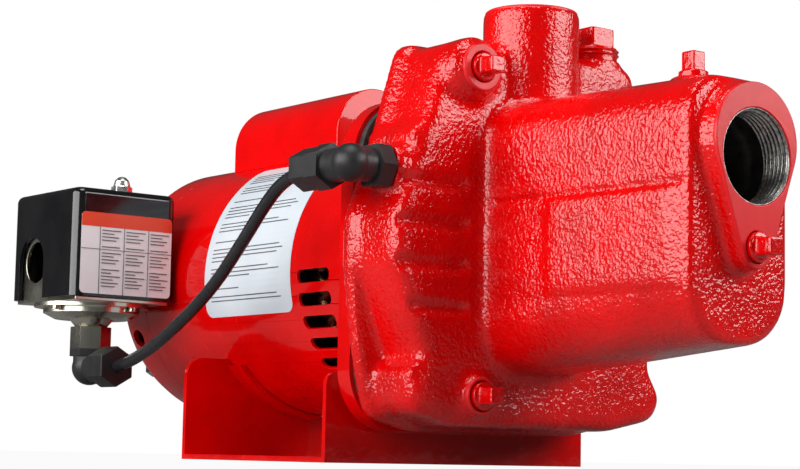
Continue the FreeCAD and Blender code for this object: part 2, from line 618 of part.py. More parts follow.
def suction_boss():
    """The teardrop on the nose's end: a big arc and a small one joined by tangent sides."""
    x = cell("nose_front") - 6
    high, big = cell("face_arc_height"), cell("face_arc")
    low, small = cell("shaft_height"), cell("face_foot")
    slope = math.asin((big - small) / (high - low))
    sides = []
    for side in (1, -1):
        across, rise = side * math.cos(slope), -math.sin(slope)
        sides.append((FreeCAD.Vector(x, big * across, high + big * rise),
                      FreeCAD.Vector(x, small * across, low + small * rise)))
    (right_top, right_low), (left_top, left_low) = sides
    wire = Part.Wire([
        Part.Arc(right_top, FreeCAD.Vector(x, 0, high + big), left_top).toShape(),
        Part.LineSegment(left_top, left_low).toShape(),
        Part.Arc(left_low, FreeCAD.Vector(x, 0, low - small), right_low).toShape(),
        Part.LineSegment(right_low, right_top).toShape(),
    ])
    return prism(wire, cell("suction_face") - x)


def seal_plate():
    plate = block("seal_plate_disc", "YZ_Plane",
                  rectangle("flange_half - 2", "-flange_half + 2", "flange_half - 2"),
                  "seal_plate_thick", on_axis("shell_front + flange_thick"), "flange_corner - 2")
    hub = cylinder("seal_plate_hub", "28", "8", on_axis("shell_front + flange_thick"), "X")
    holes = [cylinder("seal_plate_bore", "seal_radius", "20", on_axis("shell_front + 8"), "X")]
    holes += case_bolt_rods("seal_plate_hole", "case_bolt + bolt_gap", "shell_front + 5", "20")
    node(cut("seal_plate_cut", fused("seal_plate_solid", [plate, hub]), holes), "seal_plate")


def case_gasket():
    rear, thick = cell("case_rear"), cell("gasket_thick")
    sheet_face = prism(rounded_wire(case_corners(3), rear - thick), thick)
    sheet_face = sheet_face.cut(rod(76, 5, (rear - 2, 0, cell("shaft_height")), (1, 0, 0)))
    for y in (-1, 1):
        for z in (-1, 1):
            at = (rear - 2, y * cell("case_bolt_y"),
                  cell("shaft_height") + z * cell("case_bolt_rise"))
            sheet_face = sheet_face.cut(rod(cell("case_bolt") + cell("bolt_gap"), 5, at, (1, 0, 0)))
    node(shaped("gasket_sheet", sheet_face), "case_gasket")


def shaft_seal():
    node(ring("seal_seat_ring", "seal_radius", "seal_bore", "6", on_axis("impeller_x - 13"), "X"),
         "seal_seat")
    node(ring("seal_head_ring", "14", "7.9", "3.5", on_axis("impeller_x - 6.7"), "X"),
         "seal_head")
    node(ring("seal_spring_ring", "12.5", "7.9", "3", on_axis("impeller_x - 3.2"), "X"),
         "seal_spring")


def impeller():
    """Two shrouds with six straight backward vanes between them."""
    body, sketch = sketched("impeller_vanes", "XY_Plane", [
        ("eye_radius", "9"), ("eye_radius + 2", "9 - vane"),
        ("impeller_radius - 6", "-vane - 14"), ("impeller_radius - 6", "-14")])
    vane = body.newObject("PartDesign::Pad", "impeller_vane_pad")
    vane.Profile = sketch
    vane.setExpression("Length", formula("impeller_width"))
    pattern = body.newObject("PartDesign::PolarPattern", "impeller_pattern")
    pattern.Originals = [vane]
    pattern.Axis = (sketch, ["N_Axis"])
    pattern.Angle = 360
    pattern.Occurrences = 6
    body.Tip = pattern
    place(body, on_axis("impeller_x"), "X")
    back = ring("impeller_back", "impeller_radius", "impeller_bore", "shroud",
                on_axis("impeller_x"), "X")
    front = ring("impeller_front", "impeller_radius", "eye_radius", "shroud",
                 on_axis("impeller_x + impeller_width - shroud"), "X")
    hub = ring("impeller_hub", "12", "impeller_bore", "impeller_width - 4", on_axis("impeller_x"), "X")
    node(fused("impeller_set", [body, back, front, hub]), "impeller")
    nut = turned("impeller_nut_cone", [(0, 0), (8, 0), (8, 3), (4, 6), (0, 6)],
                 on_axis("impeller_x + impeller_width - 4"), "X")
    node(nut, "impeller_nut")


def jet_parts():
    node(ring("diffuser_ring", "diffuser_radius", "eye_radius - 2", "diffuser_thick",
              on_axis("diffuser_x"), "X"), "diffuser")
    node(turned("venturi_tube", [
        ("8.5", 0), ("venturi_radius", 0), ("venturi_radius", "venturi_length"),
        ("6", "venturi_length"), ("4.5", "venturi_length - 14"),
    ], on_axis("venturi_rear"), "X"), "venturi")
    node(turned("nozzle_cone", [
        ("3", 0), ("5", 0), ("nozzle_radius", "8"), ("passage_radius", "12"),
        ("passage_radius", "16"), ("nozzle_radius", "16"), ("nozzle_radius", "nozzle_length"),
        ("6.5", "nozzle_length"),
    ], on_axis("nozzle_x"), "X"), "nozzle")


def square_plug(label, at, along, thread="small_thread", depth="small_plug_depth",
                head="small_head", neck="2", rise="small_head_rise"):
    """A pipe plug: a threaded shank in its bore, a short neck and a square head."""
    x, y, z = at
    shank = turned(label + "_shank", [
        (0, f"-({depth})"), (f"{thread} - thread_gap - 1", f"-({depth})"),
        (f"{thread} - thread_gap", f"-({depth}) + 1.5"), (f"{thread} - thread_gap", neck), (0, neck),
    ], at, along)
    corners = [(f"-({head}) / 2", f"-({head}) / 2"), (f"({head}) / 2", f"-({head}) / 2"),
               (f"({head}) / 2", f"({head}) / 2"), (f"-({head}) / 2", f"({head}) / 2")]
    cap = block(label + "_head", "XY_Plane", corners, rise, at, f"({head}) / 9")
    shift = {"X": (f"{x} + {neck}", y, z), "Z": (x, y, f"{z} + {neck}")}[along]
    place(cap, shift, along)
    node(fused(label + "_set", [shank, cap]), label)


def plugs():
    square_plug("suction_face_plug", on_axis("suction_face"), "X")
    square_plug("gauge_plug", ("gauge_face", "gauge_y", "gauge_height"), "X")
    square_plug("drain_plug", ("drain_face", "drain_y", "drain_height"), "X")
    square_plug("nose_top_plug", ("top_plug_x", "0", "nose_top + 2"), "Z")
    square_plug("priming_plug", ("prime_x", "prime_y", "prime_face"), "Z", thread="prime_thread",
                depth="14", head="prime_head", neck="prime_neck", rise="prime_head_rise")


# ---------------------------------------------------------------- pressure switch

def switch_frame():
    """The bracket: a floor and two end walls with conduit holes, and the nipple to the motor."""
    half = "bracket_width / 2"
    floor = box("bracket_floor", ("bracket_length", "bracket_width", "bracket_sheet"),
                ("switch_x - bracket_length / 2", f"switch_y - {half}",
                 "switch_floor - bracket_sheet"))
    walls = []
    for y in (f"switch_y - {half}", f"switch_y + {half} - bracket_sheet"):
        walls.append(box("bracket_wall", ("bracket_length - 4",
                                          "bracket_sheet", "bracket_top - switch_floor"),
                         ("switch_x - bracket_length / 2 + 2", y, "switch_floor")))
    holes = [
        cylinder("bracket_conduit", "conduit_hole", "bracket_width + 10",
                 ("conduit_x", f"switch_y - {half} - 5", "conduit_height"), "Y"),
        cylinder("bracket_plunger_hole", "3 + running_gap", "8",
                 ("switch_x", "switch_y", "switch_floor - 4")),
    ]
    node(cut("bracket_cut", fused("bracket_solid", [floor] + walls), holes), "switch_bracket")
    node(ring("nipple_tube", "nipple_radius", "nipple_bore", "30",
              ("conduit_x", "switch_y + 21", "conduit_height"), "Y"), "conduit_nipple")
    nuts = []
    for y, name in (("switch_y + 22", "inner"), ("switch_y + 47", "outer")):
        nuts.append(ring(f"locknut_{name}", "13", "nipple_radius", "3.5",
                         ("conduit_x", y, "conduit_height"), "Y"))
    node(nuts[0], "switch_locknut")
    node(nuts[1], "bell_locknut")


def switch_cover():
    """A deep drawn cap with two arched openings for the conduit and a hole for the stud."""
    def cap(name, grow, low, high):
        half_long, half_wide = f"(switch_length / 2 + {grow})", f"(switch_width / 2 + {grow})"
        corners = [(f"-{half_long}", f"-{half_wide}"), (half_long, f"-{half_wide}"),
                   (half_long, half_wide), (f"-{half_long}", half_wide)]
        return block(name, "XY_Plane", corners, f"{high} - ({low})",
                     ("switch_x", "switch_y", low), f"switch_corner + {grow}")
    outer = cap("cover_outer", "0", "switch_floor", "switch_top")
    doc.recompute()
    sides = outer.Tip
    top_edges = []
    for number, edge in enumerate(sides.Shape.Edges, 1):
        if all(abs(vertex.Z - sides.Shape.BoundBox.ZMax) < 0.01 for vertex in edge.Vertexes):
            top_edges.append(f"Edge{number}")
    crown = outer.newObject("PartDesign::Fillet", "cover_crown")
    crown.Base = (sides, top_edges)
    crown.Radius = 4
    inner = cap("cover_inner", "-switch_wall", "switch_floor - 1", "switch_top - switch_wall")
    arch = [
        cylinder("cover_arch", "arch_radius", "switch_width + 10",
                 ("conduit_x", "switch_y - switch_width / 2 - 5", "conduit_height"), "Y"),
        box("cover_arch_leg", ("2 * arch_radius", "switch_width + 10",
                               "conduit_height - switch_floor + 2"),
            ("conduit_x - arch_radius", "switch_y - switch_width / 2 - 5", "switch_floor - 2")),
    ]
    stud_hole = cylinder("cover_stud_hole", "stud_radius + 0.5", "20",
                         ("stud_x", "stud_y", "switch_top - 10"))
    node(cut("cover_cut", outer, [inner, stud_hole] + arch), "switch_cover")
    dome = turned("cover_nut_dome", [
        (0, "6"), ("stud_radius + 0.1", "6"), ("stud_radius + 0.1", 0), ("4.6", 0), ("4.6", "4.5"),
        ("3.8", "7.5"), ("2", "9.3"), (0, "9.8"),
    ], ("stud_x", "stud_y", "switch_top + head_gap"))
    flats = cut("cover_nut_flats",
                hexagon("cover_nut_hex", "10", "4", ("stud_x", "stud_y", "switch_top + head_gap")),
                [cylinder("cover_nut_bore", "stud_radius + 0.1", "4",
                          ("stud_x", "stud_y", "switch_top + head_gap"))])
    node(fused("cover_nut_set", [dome, flats]), "cover_nut")


def switch_works():
    """What the cover hides: stud, springs, contact block, lever on its pin, plunger."""
    node(cylinder("stud_rod", "stud_radius", "switch_top + 5 - switch_floor",
                  ("stud_x", "stud_y", "switch_floor")), "cover_stud")
    node(ring("range_spring_coil", "7.5", "stud_radius + 1.5", "27",
              ("stud_x", "stud_y", "switch_floor")), "range_spring")
    nut = hexagon("range_nut_hex", "11", "5", ("stud_x", "stud_y", "pivot_height + 3"))
    bore = cylinder("range_nut_bore", "stud_radius", "5", ("stud_x", "stud_y", "pivot_height + 3"))
    node(cut("range_nut_cut", nut, [bore]), "range_nut")
    node(block("contact_block_body", "XY_Plane", [("-20", "-9"), ("20", "-9"), ("20", "9"),
                                                  ("-20", "9")], "8",
               ("switch_x - 10.5", "switch_y - 16.3", "switch_floor"), "2"), "contact_block")
    screws = []
    for step in range(4):
        screws.append(cylinder("terminal_screw", "2.8", "2.5",
                               (f"switch_x - 24.5 + {step} * 9.4", "switch_y - 16.3",
                                "switch_floor + 8")))
    node(fused("terminal_screw_set", screws), "terminal_screws")
    foot = box("post_foot", ("6", "22", "20"), ("pivot_x - 3", "switch_y - 7", "switch_floor"))
    ears = []
    for y in ("switch_y - 7", "switch_y + 12.2"):
        ears.append(box("post_ear", ("6", "2.8", "pivot_height + 3 - switch_floor"),
                        ("pivot_x - 3", y, "switch_floor")))
    pin_hole = cylinder("post_pin_hole", "pivot_pin", "30",
                        ("pivot_x", "switch_y - 10", "pivot_height"), "Y")
    node(cut("post_cut", fused("post_solid", [foot] + ears), [pin_hole]), "pivot_post")
    node(cylinder("pin_rod", "pivot_pin", "22", ("pivot_x", "switch_y - 7", "pivot_height"), "Y"),
         "pivot_pin")
    arm = box("lever_arm", ("55", "14", "lever_sheet"),
              ("pivot_x", "switch_y - 3", "pivot_height - 1"))
    barrel = cylinder("lever_barrel", "3.2", "14", ("pivot_x", "switch_y - 3", "pivot_height"), "Y")
    holes = [cylinder("lever_bore", "pivot_pin + running_gap", "30",
                      ("pivot_x", "switch_y - 10", "pivot_height"), "Y"),
             cylinder("lever_stud_hole", "stud_radius + 1.5", "10",
                      ("stud_x", "stud_y", "pivot_height - 5"))]
    node(cut("lever_cut", fused("lever_solid", [arm, barrel]), holes), "contact_lever")
    node(cylinder("plunger_rod", "3", "33.5", ("switch_x", "switch_y", "switch_floor - 4")),
         "plunger")


def pressure_head():
    """Under the bracket: the cup with its lip, the diaphragm, four screws and the hex fitting."""
    floor = "switch_floor - bracket_sheet"
    node(turned("press_cup_turned", [
        (0, "-8"), ("press_body - 6", "-8"), ("press_body", "-5"), ("press_body", "-2"),
        ("press_flange", "-2"), ("press_flange", 0), ("press_cup", 0), ("press_cup", "-6"),
        (0, "-6"),
    ], ("switch_x", "switch_y", floor)), "pressure_flange")
    node(cylinder("diaphragm_disc", "press_cup - 0.5", "1.5",
                  ("switch_x", "switch_y", f"{floor} - 5.5")), "diaphragm")
    screws = []
    for turn in (20, 110, 200, 290):
        screws.append(cylinder("flange_screw", "2.3", "2.2", (
            f"switch_x + 28.5 * cos({turn})", f"switch_y + 28.5 * sin({turn})", f"{floor} - 4.2")))
    node(fused("flange_screw_set", screws), "flange_screws")
    hexed = hexagon("press_hex", "fitting_flats", "12",
                    ("switch_x", "switch_y", f"{floor} - 8 - 4 - 12"))
    neck = turned("press_neck", [(0, 0), ("8.5", 0), ("12", 4), (0, 4)],
                  ("switch_x", "switch_y", f"{floor} - 8 - 4"))
    node(fused("press_fitting", [hexed, neck]), "hex_fitting")


# ---------------------------------------------------------------- sensing line

def low_elbow():
    top = "switch_floor - bracket_sheet - 24"
    at = ("switch_x", "switch_y", "low_elbow_height")
    upright = cylinder("low_elbow_upright", "fitting_body + 1",
                       f"{top} - low_elbow_height", at)
    collar = hexagon("low_elbow_collar", "fitting_flats", "4", ("switch_x", "switch_y", f"{top} - 4"))
    ball = doc.addObject("Part::Sphere", "low_elbow_ball")
    ball.setExpression("Radius", formula("fitting_body + 1.5"))
    place(ball, at)
    arm = cylinder("low_elbow_arm", "fitting_body", "13", at, "X")
    node(fused("low_elbow_set", [upright, collar, ball, arm]), "lower_elbow")
    nut = hexagon("low_nut_hex", "fitting_flats", "low_nut_end - switch_x - 13",
                  ("switch_x + 13", "switch_y", "low_elbow_height"), "X")
    node(nut, "lower_tube_nut")


def top_elbow():
    at = ("top_elbow_x", "top_elbow_y", "top_elbow_height")
    ball = doc.addObject("Part::Sphere", "top_elbow_ball")
    ball.setExpression("Radius", formula("fitting_body + 1"))
    place(ball, at)
    leg = cylinder("top_elbow_leg", "fitting_body", "12", at, "Y")
    collar = hexagon("top_elbow_collar", "fitting_flats", "8",
                     ("top_elbow_x", "top_elbow_y + 11", "top_elbow_height"), "Y")
    thread = cylinder("top_elbow_thread", "small_thread", "12",
                      ("top_elbow_x", "top_elbow_y + 19", "top_elbow_height"), "Y")
    arm = cylinder("top_elbow_arm", "fitting_body", "15", at, "-X")
    grip = hexagon("top_elbow_grip", "fitting_flats", "10",
                   ("top_elbow_x - 24", "top_elbow_y", "top_elbow_height"), "X")
    node(fused("top_elbow_set", [ball, leg, collar, thread, arm, grip]), "upper_elbow")
    nut = hexagon("top_nut_hex", "fitting_flats - 1", "top_elbow_x - 24 - top_nut_end",
                  ("top_nut_end", "top_elbow_y", "top_elbow_height"), "X")
    node(nut, "upper_tube_nut")


# The tube leaves the lower nut level, climbs in a long S and enters the upper nut level.
TUBE_ROUTE = [
    (-98, -103, 48), (-79, -103, 51), (-45, -103.4, 64), (-6, -103.8, 84), (20, -104, 105),
    (41, -104, 124), (56, -104, 133.5), (71, -104, 136),
]


def sensing_tube():
    """Straight runs joined by tangent arcs, swept by a circle."""
    points = [FreeCAD.Vector(*point) for point in TUBE_ROUTE]
    edges, start, radii = [], points[0], []
    for before, here, after in zip(points, points[1:], points[2:]):
        back, ahead = before - here, after - here
        run = min(back.Length, ahead.Length)
        back.normalize()
        ahead.normalize()
        half_turn = (math.pi - back.getAngle(ahead)) / 2
        reach = 0.45 * run
        radius = reach / math.tan(half_turn)
        middle = here + (back + ahead).normalize() * (radius / math.cos(half_turn) - radius)
        edges.append(Part.LineSegment(start, here + back * reach).toShape())
        edges.append(Part.Arc(here + back * reach, middle, here + ahead * reach).toShape())
        start = here + ahead * reach
        radii.append(round(radius, 1))
    edges.append(Part.LineSegment(start, points[-1]).toShape())
    path = Part.Wire(edges)
    radius = cell("tube_radius")
    direction = points[1] - points[0]
    section = Part.Wire([Part.Circle(points[0], direction, radius).toShape()])
    tube = path.makePipeShell([section], True, False)
    print("tube arc radii", radii, "length", round(path.Length, 1),
          "volume ratio", round(tube.Volume / (math.pi * radius ** 2 * path.Length), 4))
    node(shaped("tube_sweep", tube), "sensing_tube")


def build():
    for make in (motor_base, motor_shell, rear_end_bell, through_bolts, motor_flange, case_bolts,
                 motor_inside, cooling_fan, capacitor_housing, pump_case, seal_plate, case_gasket,
                 shaft_seal, impeller, jet_parts, plugs, switch_frame, switch_cover, switch_works,
                 pressure_head, low_elbow, top_elbow, sensing_tube):
        make()
    doc.recompute()
    for item in doc.Objects:
        bad = {"Invalid", "Error"} & set(item.State)
        if bad:
            raise RuntimeError(f"{item.Name} ({item.Label}) did not compute: {item.State}")
    os.makedirs("parts", exist_ok=True)
    for piece in NODES:
        if piece.Shape.isNull() or not piece.Shape.isValid():
            raise RuntimeError(f"{piece.Label} has no valid shape")
    for piece in NODES:
        piece.Shape.exportStep(f"parts/{piece.Label}.step")
    print(len(NODES), "sub-parts written")


build()
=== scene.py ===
"""Looks of a shallow-well jet pump: red enamel over castings and sheet, with a black switch.

Metres, in the row frame: +X along the shaft out of the suction port, +Z up, the switch on -Y.
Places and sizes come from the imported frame's boxes.
"""
import json
import math

import bmesh
import bpy
import numpy as np
from mathutils import Matrix, Vector

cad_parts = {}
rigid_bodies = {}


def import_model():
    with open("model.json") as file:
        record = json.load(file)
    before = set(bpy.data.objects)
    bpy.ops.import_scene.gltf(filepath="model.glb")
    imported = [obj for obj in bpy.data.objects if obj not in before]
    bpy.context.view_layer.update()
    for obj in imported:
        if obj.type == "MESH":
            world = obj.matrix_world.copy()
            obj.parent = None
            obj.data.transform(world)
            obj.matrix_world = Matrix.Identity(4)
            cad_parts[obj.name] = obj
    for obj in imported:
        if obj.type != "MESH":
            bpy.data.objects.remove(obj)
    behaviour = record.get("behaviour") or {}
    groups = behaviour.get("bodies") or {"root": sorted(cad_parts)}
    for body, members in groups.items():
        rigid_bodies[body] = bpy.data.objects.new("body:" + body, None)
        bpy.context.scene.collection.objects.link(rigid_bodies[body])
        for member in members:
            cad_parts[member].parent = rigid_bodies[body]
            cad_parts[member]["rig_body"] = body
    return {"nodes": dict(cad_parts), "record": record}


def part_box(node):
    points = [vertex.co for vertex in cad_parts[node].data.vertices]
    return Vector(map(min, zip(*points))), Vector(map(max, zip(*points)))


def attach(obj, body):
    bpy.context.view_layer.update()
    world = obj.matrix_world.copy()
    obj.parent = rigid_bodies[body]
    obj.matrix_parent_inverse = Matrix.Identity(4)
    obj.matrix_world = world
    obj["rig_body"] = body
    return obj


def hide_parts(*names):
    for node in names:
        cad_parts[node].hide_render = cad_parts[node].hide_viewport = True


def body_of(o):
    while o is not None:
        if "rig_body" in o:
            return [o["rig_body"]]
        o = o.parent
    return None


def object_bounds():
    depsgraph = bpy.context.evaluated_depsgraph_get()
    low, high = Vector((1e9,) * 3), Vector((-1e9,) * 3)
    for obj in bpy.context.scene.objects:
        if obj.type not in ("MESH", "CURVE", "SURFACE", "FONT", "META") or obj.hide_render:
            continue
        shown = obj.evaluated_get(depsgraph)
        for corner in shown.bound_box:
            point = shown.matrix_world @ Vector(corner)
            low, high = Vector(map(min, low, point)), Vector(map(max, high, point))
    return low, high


MM = 0.001

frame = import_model()
cad_low, cad_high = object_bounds()
nodes = frame["nodes"]

RED_BODY = (0.84, 0.0, 0.0005)
RED_SHADE = (0.62, 0.0, 0.0002)


# ---------------------------------------------------------------- materials

class Surface:
    """A procedural material: colour drift, uneven gloss and stacked relief, in metres."""

    def __init__(self, name, metallic=0.0, coat=0.0, coat_roughness=0.05, specular=0.5):
        self.material = bpy.data.materials.new(name)
        self.material.use_nodes = True
        self.tree = self.material.node_tree
        self.shader = self.tree.nodes["Principled BSDF"]
        self.shader.inputs["Metallic"].default_value = metallic
        self.shader.inputs["Coat Weight"].default_value = coat
        self.shader.inputs["Coat Roughness"].default_value = coat_roughness
        self.shader.inputs["Specular IOR Level"].default_value = specular
        self.place = self.tree.nodes.new("ShaderNodeTexCoord").outputs["Object"]

    def node(self, kind, **settings):
        made = self.tree.nodes.new(kind)
        for key, value in settings.items():
            setattr(made, key, value)
        return made

    def link(self, source, target):
        self.tree.links.new(source, target)

    def stretched(self, stretch):
        """The object's coordinates scaled along each axis, for grain that runs one way."""
        mapping = self.node("ShaderNodeMapping")
        mapping.inputs["Scale"].default_value = stretch
        self.link(self.place, mapping.inputs["Vector"])
        return mapping.outputs["Vector"]

    def noise(self, size, detail=3.0, stretch=None, roughness=0.55):
        texture = self.node("ShaderNodeTexNoise")
        texture.inputs["Scale"].default_value = 1 / size
        texture.inputs["Detail"].default_value = detail
        texture.inputs["Roughness"].default_value = roughness
        source = self.stretched(stretch) if stretch else self.place
        self.link(source, texture.inputs["Vector"])
        return texture.outputs["Fac"]

    def ramp(self, source, stops):
        """Colours along a 0..1 value."""
        ramp = self.node("ShaderNodeValToRGB")
        elements = ramp.color_ramp.elements
        while len(elements) < len(stops):
            elements.new(0.5)
        for element, (position, colour) in zip(elements, stops):
            element.position = position
            element.color = (*colour, 1)
        self.link(source, ramp.inputs["Fac"])
        return ramp.outputs["Color"]

    def colour(self, size, dark, light, detail=4.0, stretch=None):
        drift = self.noise(size, detail, stretch)
        self.link(self.ramp(drift, [(0.32, dark), (0.68, light)]), self.shader.inputs["Base Color"])
        return self

    def gloss(self, size, low, high, stretch=None):
        spread = self.node("ShaderNodeMapRange")
        spread.inputs["From Min"].default_value = 0.3
        spread.inputs["From Max"].default_value = 0.7
        spread.inputs["To Min"].default_value = low
        spread.inputs["To Max"].default_value = high
        self.link(self.noise(size, 3.0, stretch), spread.inputs["Value"])
        self.link(spread.outputs["Result"], self.shader.inputs["Roughness"])
        return self

    def relief(self, layers, coat_too=True):
        """Each layer is (height source, depth in metres); they stack from coarse to fine."""
        below = None
        for source, depth in layers:
            bump = self.node("ShaderNodeBump")
            bump.inputs["Strength"].default_value = 1.0
            bump.inputs["Distance"].default_value = depth
            self.link(source, bump.inputs["Height"])
            if below is not None:
                self.link(below, bump.inputs["Normal"])
            below = bump.outputs["Normal"]
        self.link(below, self.shader.inputs["Normal"])
        if coat_too:
            self.link(below, self.shader.inputs["Coat Normal"])
        return self


def red_sheet():
    made = Surface("red_sheet_enamel", coat=0.8, coat_roughness=0.04, specular=0.08)
    made.colour(0.05, RED_SHADE, RED_BODY).gloss(0.012, 0.20, 0.30)
    made.relief([(made.noise(0.012, 2.0), 0.00006), (made.noise(0.0018, 2.0), 0.000012)])
    return made.material


def red_cast():
    made = Surface("red_cast_enamel", coat=1.0, coat_roughness=0.05, specular=0.06)
    made.colour(0.03, RED_SHADE, RED_BODY).gloss(0.006, 0.22, 0.36)
    made.relief([
        (made.noise(0.012, 2.0), 0.0004),
        (made.noise(0.0030, 2.0), 0.00020),
        (made.noise(0.0017, 1.0), 0.00050),
    ])
    return made.material


def red_machined():
    made = Surface("red_machined_face", coat=0.4, coat_roughness=0.22, specular=0.1)
    made.colour(0.02, (0.70, 0.010, 0.014), (0.82, 0.022, 0.026)).gloss(0.004, 0.34, 0.46)
    made.relief([(made.noise(0.0025, 3.0), 0.00004), (made.noise(0.0006, 2.0), 0.000015)])
    return made.material


def red_plug():
    made = Surface("red_plug_enamel", coat=1.0, coat_roughness=0.05, specular=0.1)
    made.colour(0.01, RED_SHADE, RED_BODY).gloss(0.003, 0.16, 0.28)
    made.relief([(made.noise(0.006, 2.0), 0.0005), (made.noise(0.0014, 2.0), 0.00012)])
    return made.material


def plated(name, dark, light, size=0.004, rough=(0.18, 0.34), relief=0.00003):
    made = Surface(name, metallic=1.0)
    made.colour(size, dark, light).gloss(size, *rough)
    made.relief([(made.noise(size / 2, 3.0), relief), (made.noise(0.0005, 2.0), relief / 4)])
    return made.material


def turned_metal(name, dark, light, rough=(0.25, 0.45)):
    """Fine lathe marks round the shaft's axis."""
    made = Surface(name, metallic=1.0)
    made.colour(0.006, dark, light, stretch=(6, 1, 1)).gloss(0.002, *rough, stretch=(8, 1, 1))
    made.relief([(made.noise(0.0008, 2.0, stretch=(6, 0.6, 0.6)), 0.00002)])
    return made.material


def laminated():
    """A stack of thin sheets along the shaft."""
    made = Surface("laminations", metallic=0.8)
    made.colour(0.004, (0.10, 0.10, 0.11), (0.26, 0.26, 0.28), stretch=(5, 0.4, 0.4))
    made.gloss(0.003, 0.4, 0.6)
    made.relief([(made.noise(0.0006, 1.0, stretch=(1, 0.02, 0.02)), 0.0001)])
    return made.material


def moulded(name, dark, light, rough, grain, depth, coat=0.0):
    made = Surface(name, coat=coat, coat_roughness=0.06, specular=0.45)
    made.colour(0.02, dark, light).gloss(0.004, *rough)
    made.relief([(made.noise(0.01, 2.0), depth * 2), (made.noise(grain, 3.0), depth)])
    return made.material


def iron():
    made = Surface("raw_cast_iron", metallic=0.55)
    made.colour(0.006, (0.035, 0.033, 0.032), (0.09, 0.085, 0.08)).gloss(0.003, 0.5, 0.75)
    made.relief([(made.noise(0.004, 4.0), 0.0002), (made.noise(0.0009, 3.0), 0.00008)])
    return made.material


def thread_metal():
    made = Surface("cut_thread", metallic=1.0)
    made.colour(0.0015, (0.22, 0.21, 0.20), (0.62, 0.60, 0.57)).gloss(0.001, 0.22, 0.42)
    made.relief([(made.noise(0.0005, 3.0), 0.00003)])
    return made.material


def label_stock(name, dark, light):
    made = Surface(name, coat=0.35, coat_roughness=0.12, specular=0.4)
    made.colour(0.03, dark, light).gloss(0.01, 0.32, 0.42)
    made.relief([(made.noise(0.006, 2.0), 0.00002), (made.noise(0.0004, 2.0), 0.000004)])
    return made.material


def copper_wire():
    made = Surface("varnished_copper", metallic=1.0, coat=0.6)
    made.colour(0.002, (0.07, 0.022, 0.010), (0.20, 0.07, 0.03)).gloss(0.001, 0.2, 0.4)
    made.relief([(made.noise(0.001, 3.0), 0.0001)])
    return made.material


def painted_gasket():
    """Dark rubber at its edges; its back, painted with the pump, is red."""
    made = Surface("painted_gasket", coat=0.4, coat_roughness=0.1, specular=0.2)
    normal = made.node("ShaderNodeTexCoord").outputs["Normal"]
    parts = made.node("ShaderNodeSeparateXYZ")
    made.link(normal, parts.inputs["Vector"])
    facing = made.node("ShaderNodeMapRange")
    facing.inputs["From Min"].default_value = -1.0
    facing.inputs["From Max"].default_value = 0.0
    made.link(parts.outputs["X"], facing.inputs["Value"])
    shade = made.ramp(facing.outputs["Result"], [(0.3, RED_SHADE), (0.5, (0.02, 0.02, 0.02))])
    made.link(shade, made.shader.inputs["Base Color"])
    made.gloss(0.006, 0.3, 0.45)
    made.relief([(made.noise(0.003, 2.0), 0.0001)])
    return made.material


MATERIALS = {
    "red_sheet": red_sheet(),
    "red_cast": red_cast(),
    "red_machined": red_machined(),
    "red_plug": red_plug(),
    "zinc": plated("zinc_chromate", (0.56, 0.54, 0.45), (0.72, 0.70, 0.60), 0.03, (0.16, 0.3),
                   0.00001),
    "bright_nut": plated("bright_plate", (0.80, 0.79, 0.78), (0.90, 0.89, 0.88), 0.003,
                         (0.22, 0.36), 0.00001),
    "steel": turned_metal("machined_steel", (0.30, 0.30, 0.31), (0.55, 0.55, 0.55)),
    "laminations": laminated(),
    "copper": copper_wire(),
    "cast_iron": iron(),
    "pump_plastic": moulded("filled_plastic", (0.030, 0.030, 0.032), (0.055, 0.055, 0.058),
                            (0.45, 0.6), 0.0008, 0.00005),
    "seal_face": moulded("lapped_ceramic", (0.50, 0.48, 0.43), (0.62, 0.60, 0.55),
                         (0.15, 0.3), 0.0006, 0.00001),
    "rubber": moulded("rubber", (0.012, 0.012, 0.012), (0.03, 0.03, 0.03),
                      (0.6, 0.8), 0.0006, 0.00006),
    "switch_shell": moulded("gloss_black_shell", (0.006, 0.006, 0.007), (0.012, 0.012, 0.013),
                            (0.10, 0.18), 0.002, 0.00001, coat=0.4),
    "black_nylon": moulded("black_nylon", (0.012, 0.012, 0.013), (0.026, 0.026, 0.028),
                           (0.36, 0.5), 0.0009, 0.00005),
    "tube": moulded("tube_black", (0.014, 0.014, 0.016), (0.024, 0.024, 0.027),
                    (0.24, 0.36), 0.003, 0.00002),
    "phenolic": moulded("phenolic", (0.03, 0.02, 0.012), (0.07, 0.045, 0.03),
                        (0.3, 0.45), 0.0007, 0.00003),
    "can": plated("drawn_can", (0.5, 0.5, 0.52), (0.7, 0.7, 0.72), 0.006),
    "brass": turned_metal("turned_brass", (0.45, 0.28, 0.08), (0.75, 0.52, 0.2), (0.15, 0.3)),
    "thread": thread_metal(),
    "painted_gasket": painted_gasket(),
    "motor_label": label_stock("motor_label_stock", (0.62, 0.68, 0.74), (0.70, 0.75, 0.80)),
    "switch_label": label_stock("switch_label_stock", (0.86, 0.85, 0.87), (0.92, 0.91, 0.93)),
    "label_header": label_stock("label_header_ink", (0.75, 0.045, 0.008), (0.85, 0.065, 0.012)),
    "label_ink": label_stock("label_rule_ink", (0.06, 0.06, 0.065), (0.14, 0.14, 0.15)),
}


def dress(piece, material_name):
    """Give a piece one material."""
    piece.data.materials.clear()
    piece.data.materials.append(MATERIALS[material_name])


# ---------------------------------------------------------------- mesh helpers

def linked(name, mesh):
    piece = bpy.data.objects.new(name, mesh)
    bpy.context.scene.collection.objects.link(piece)
    return piece


def smooth(mesh):
    mesh.polygons.foreach_set("use_smooth", [True] * len(mesh.polygons))


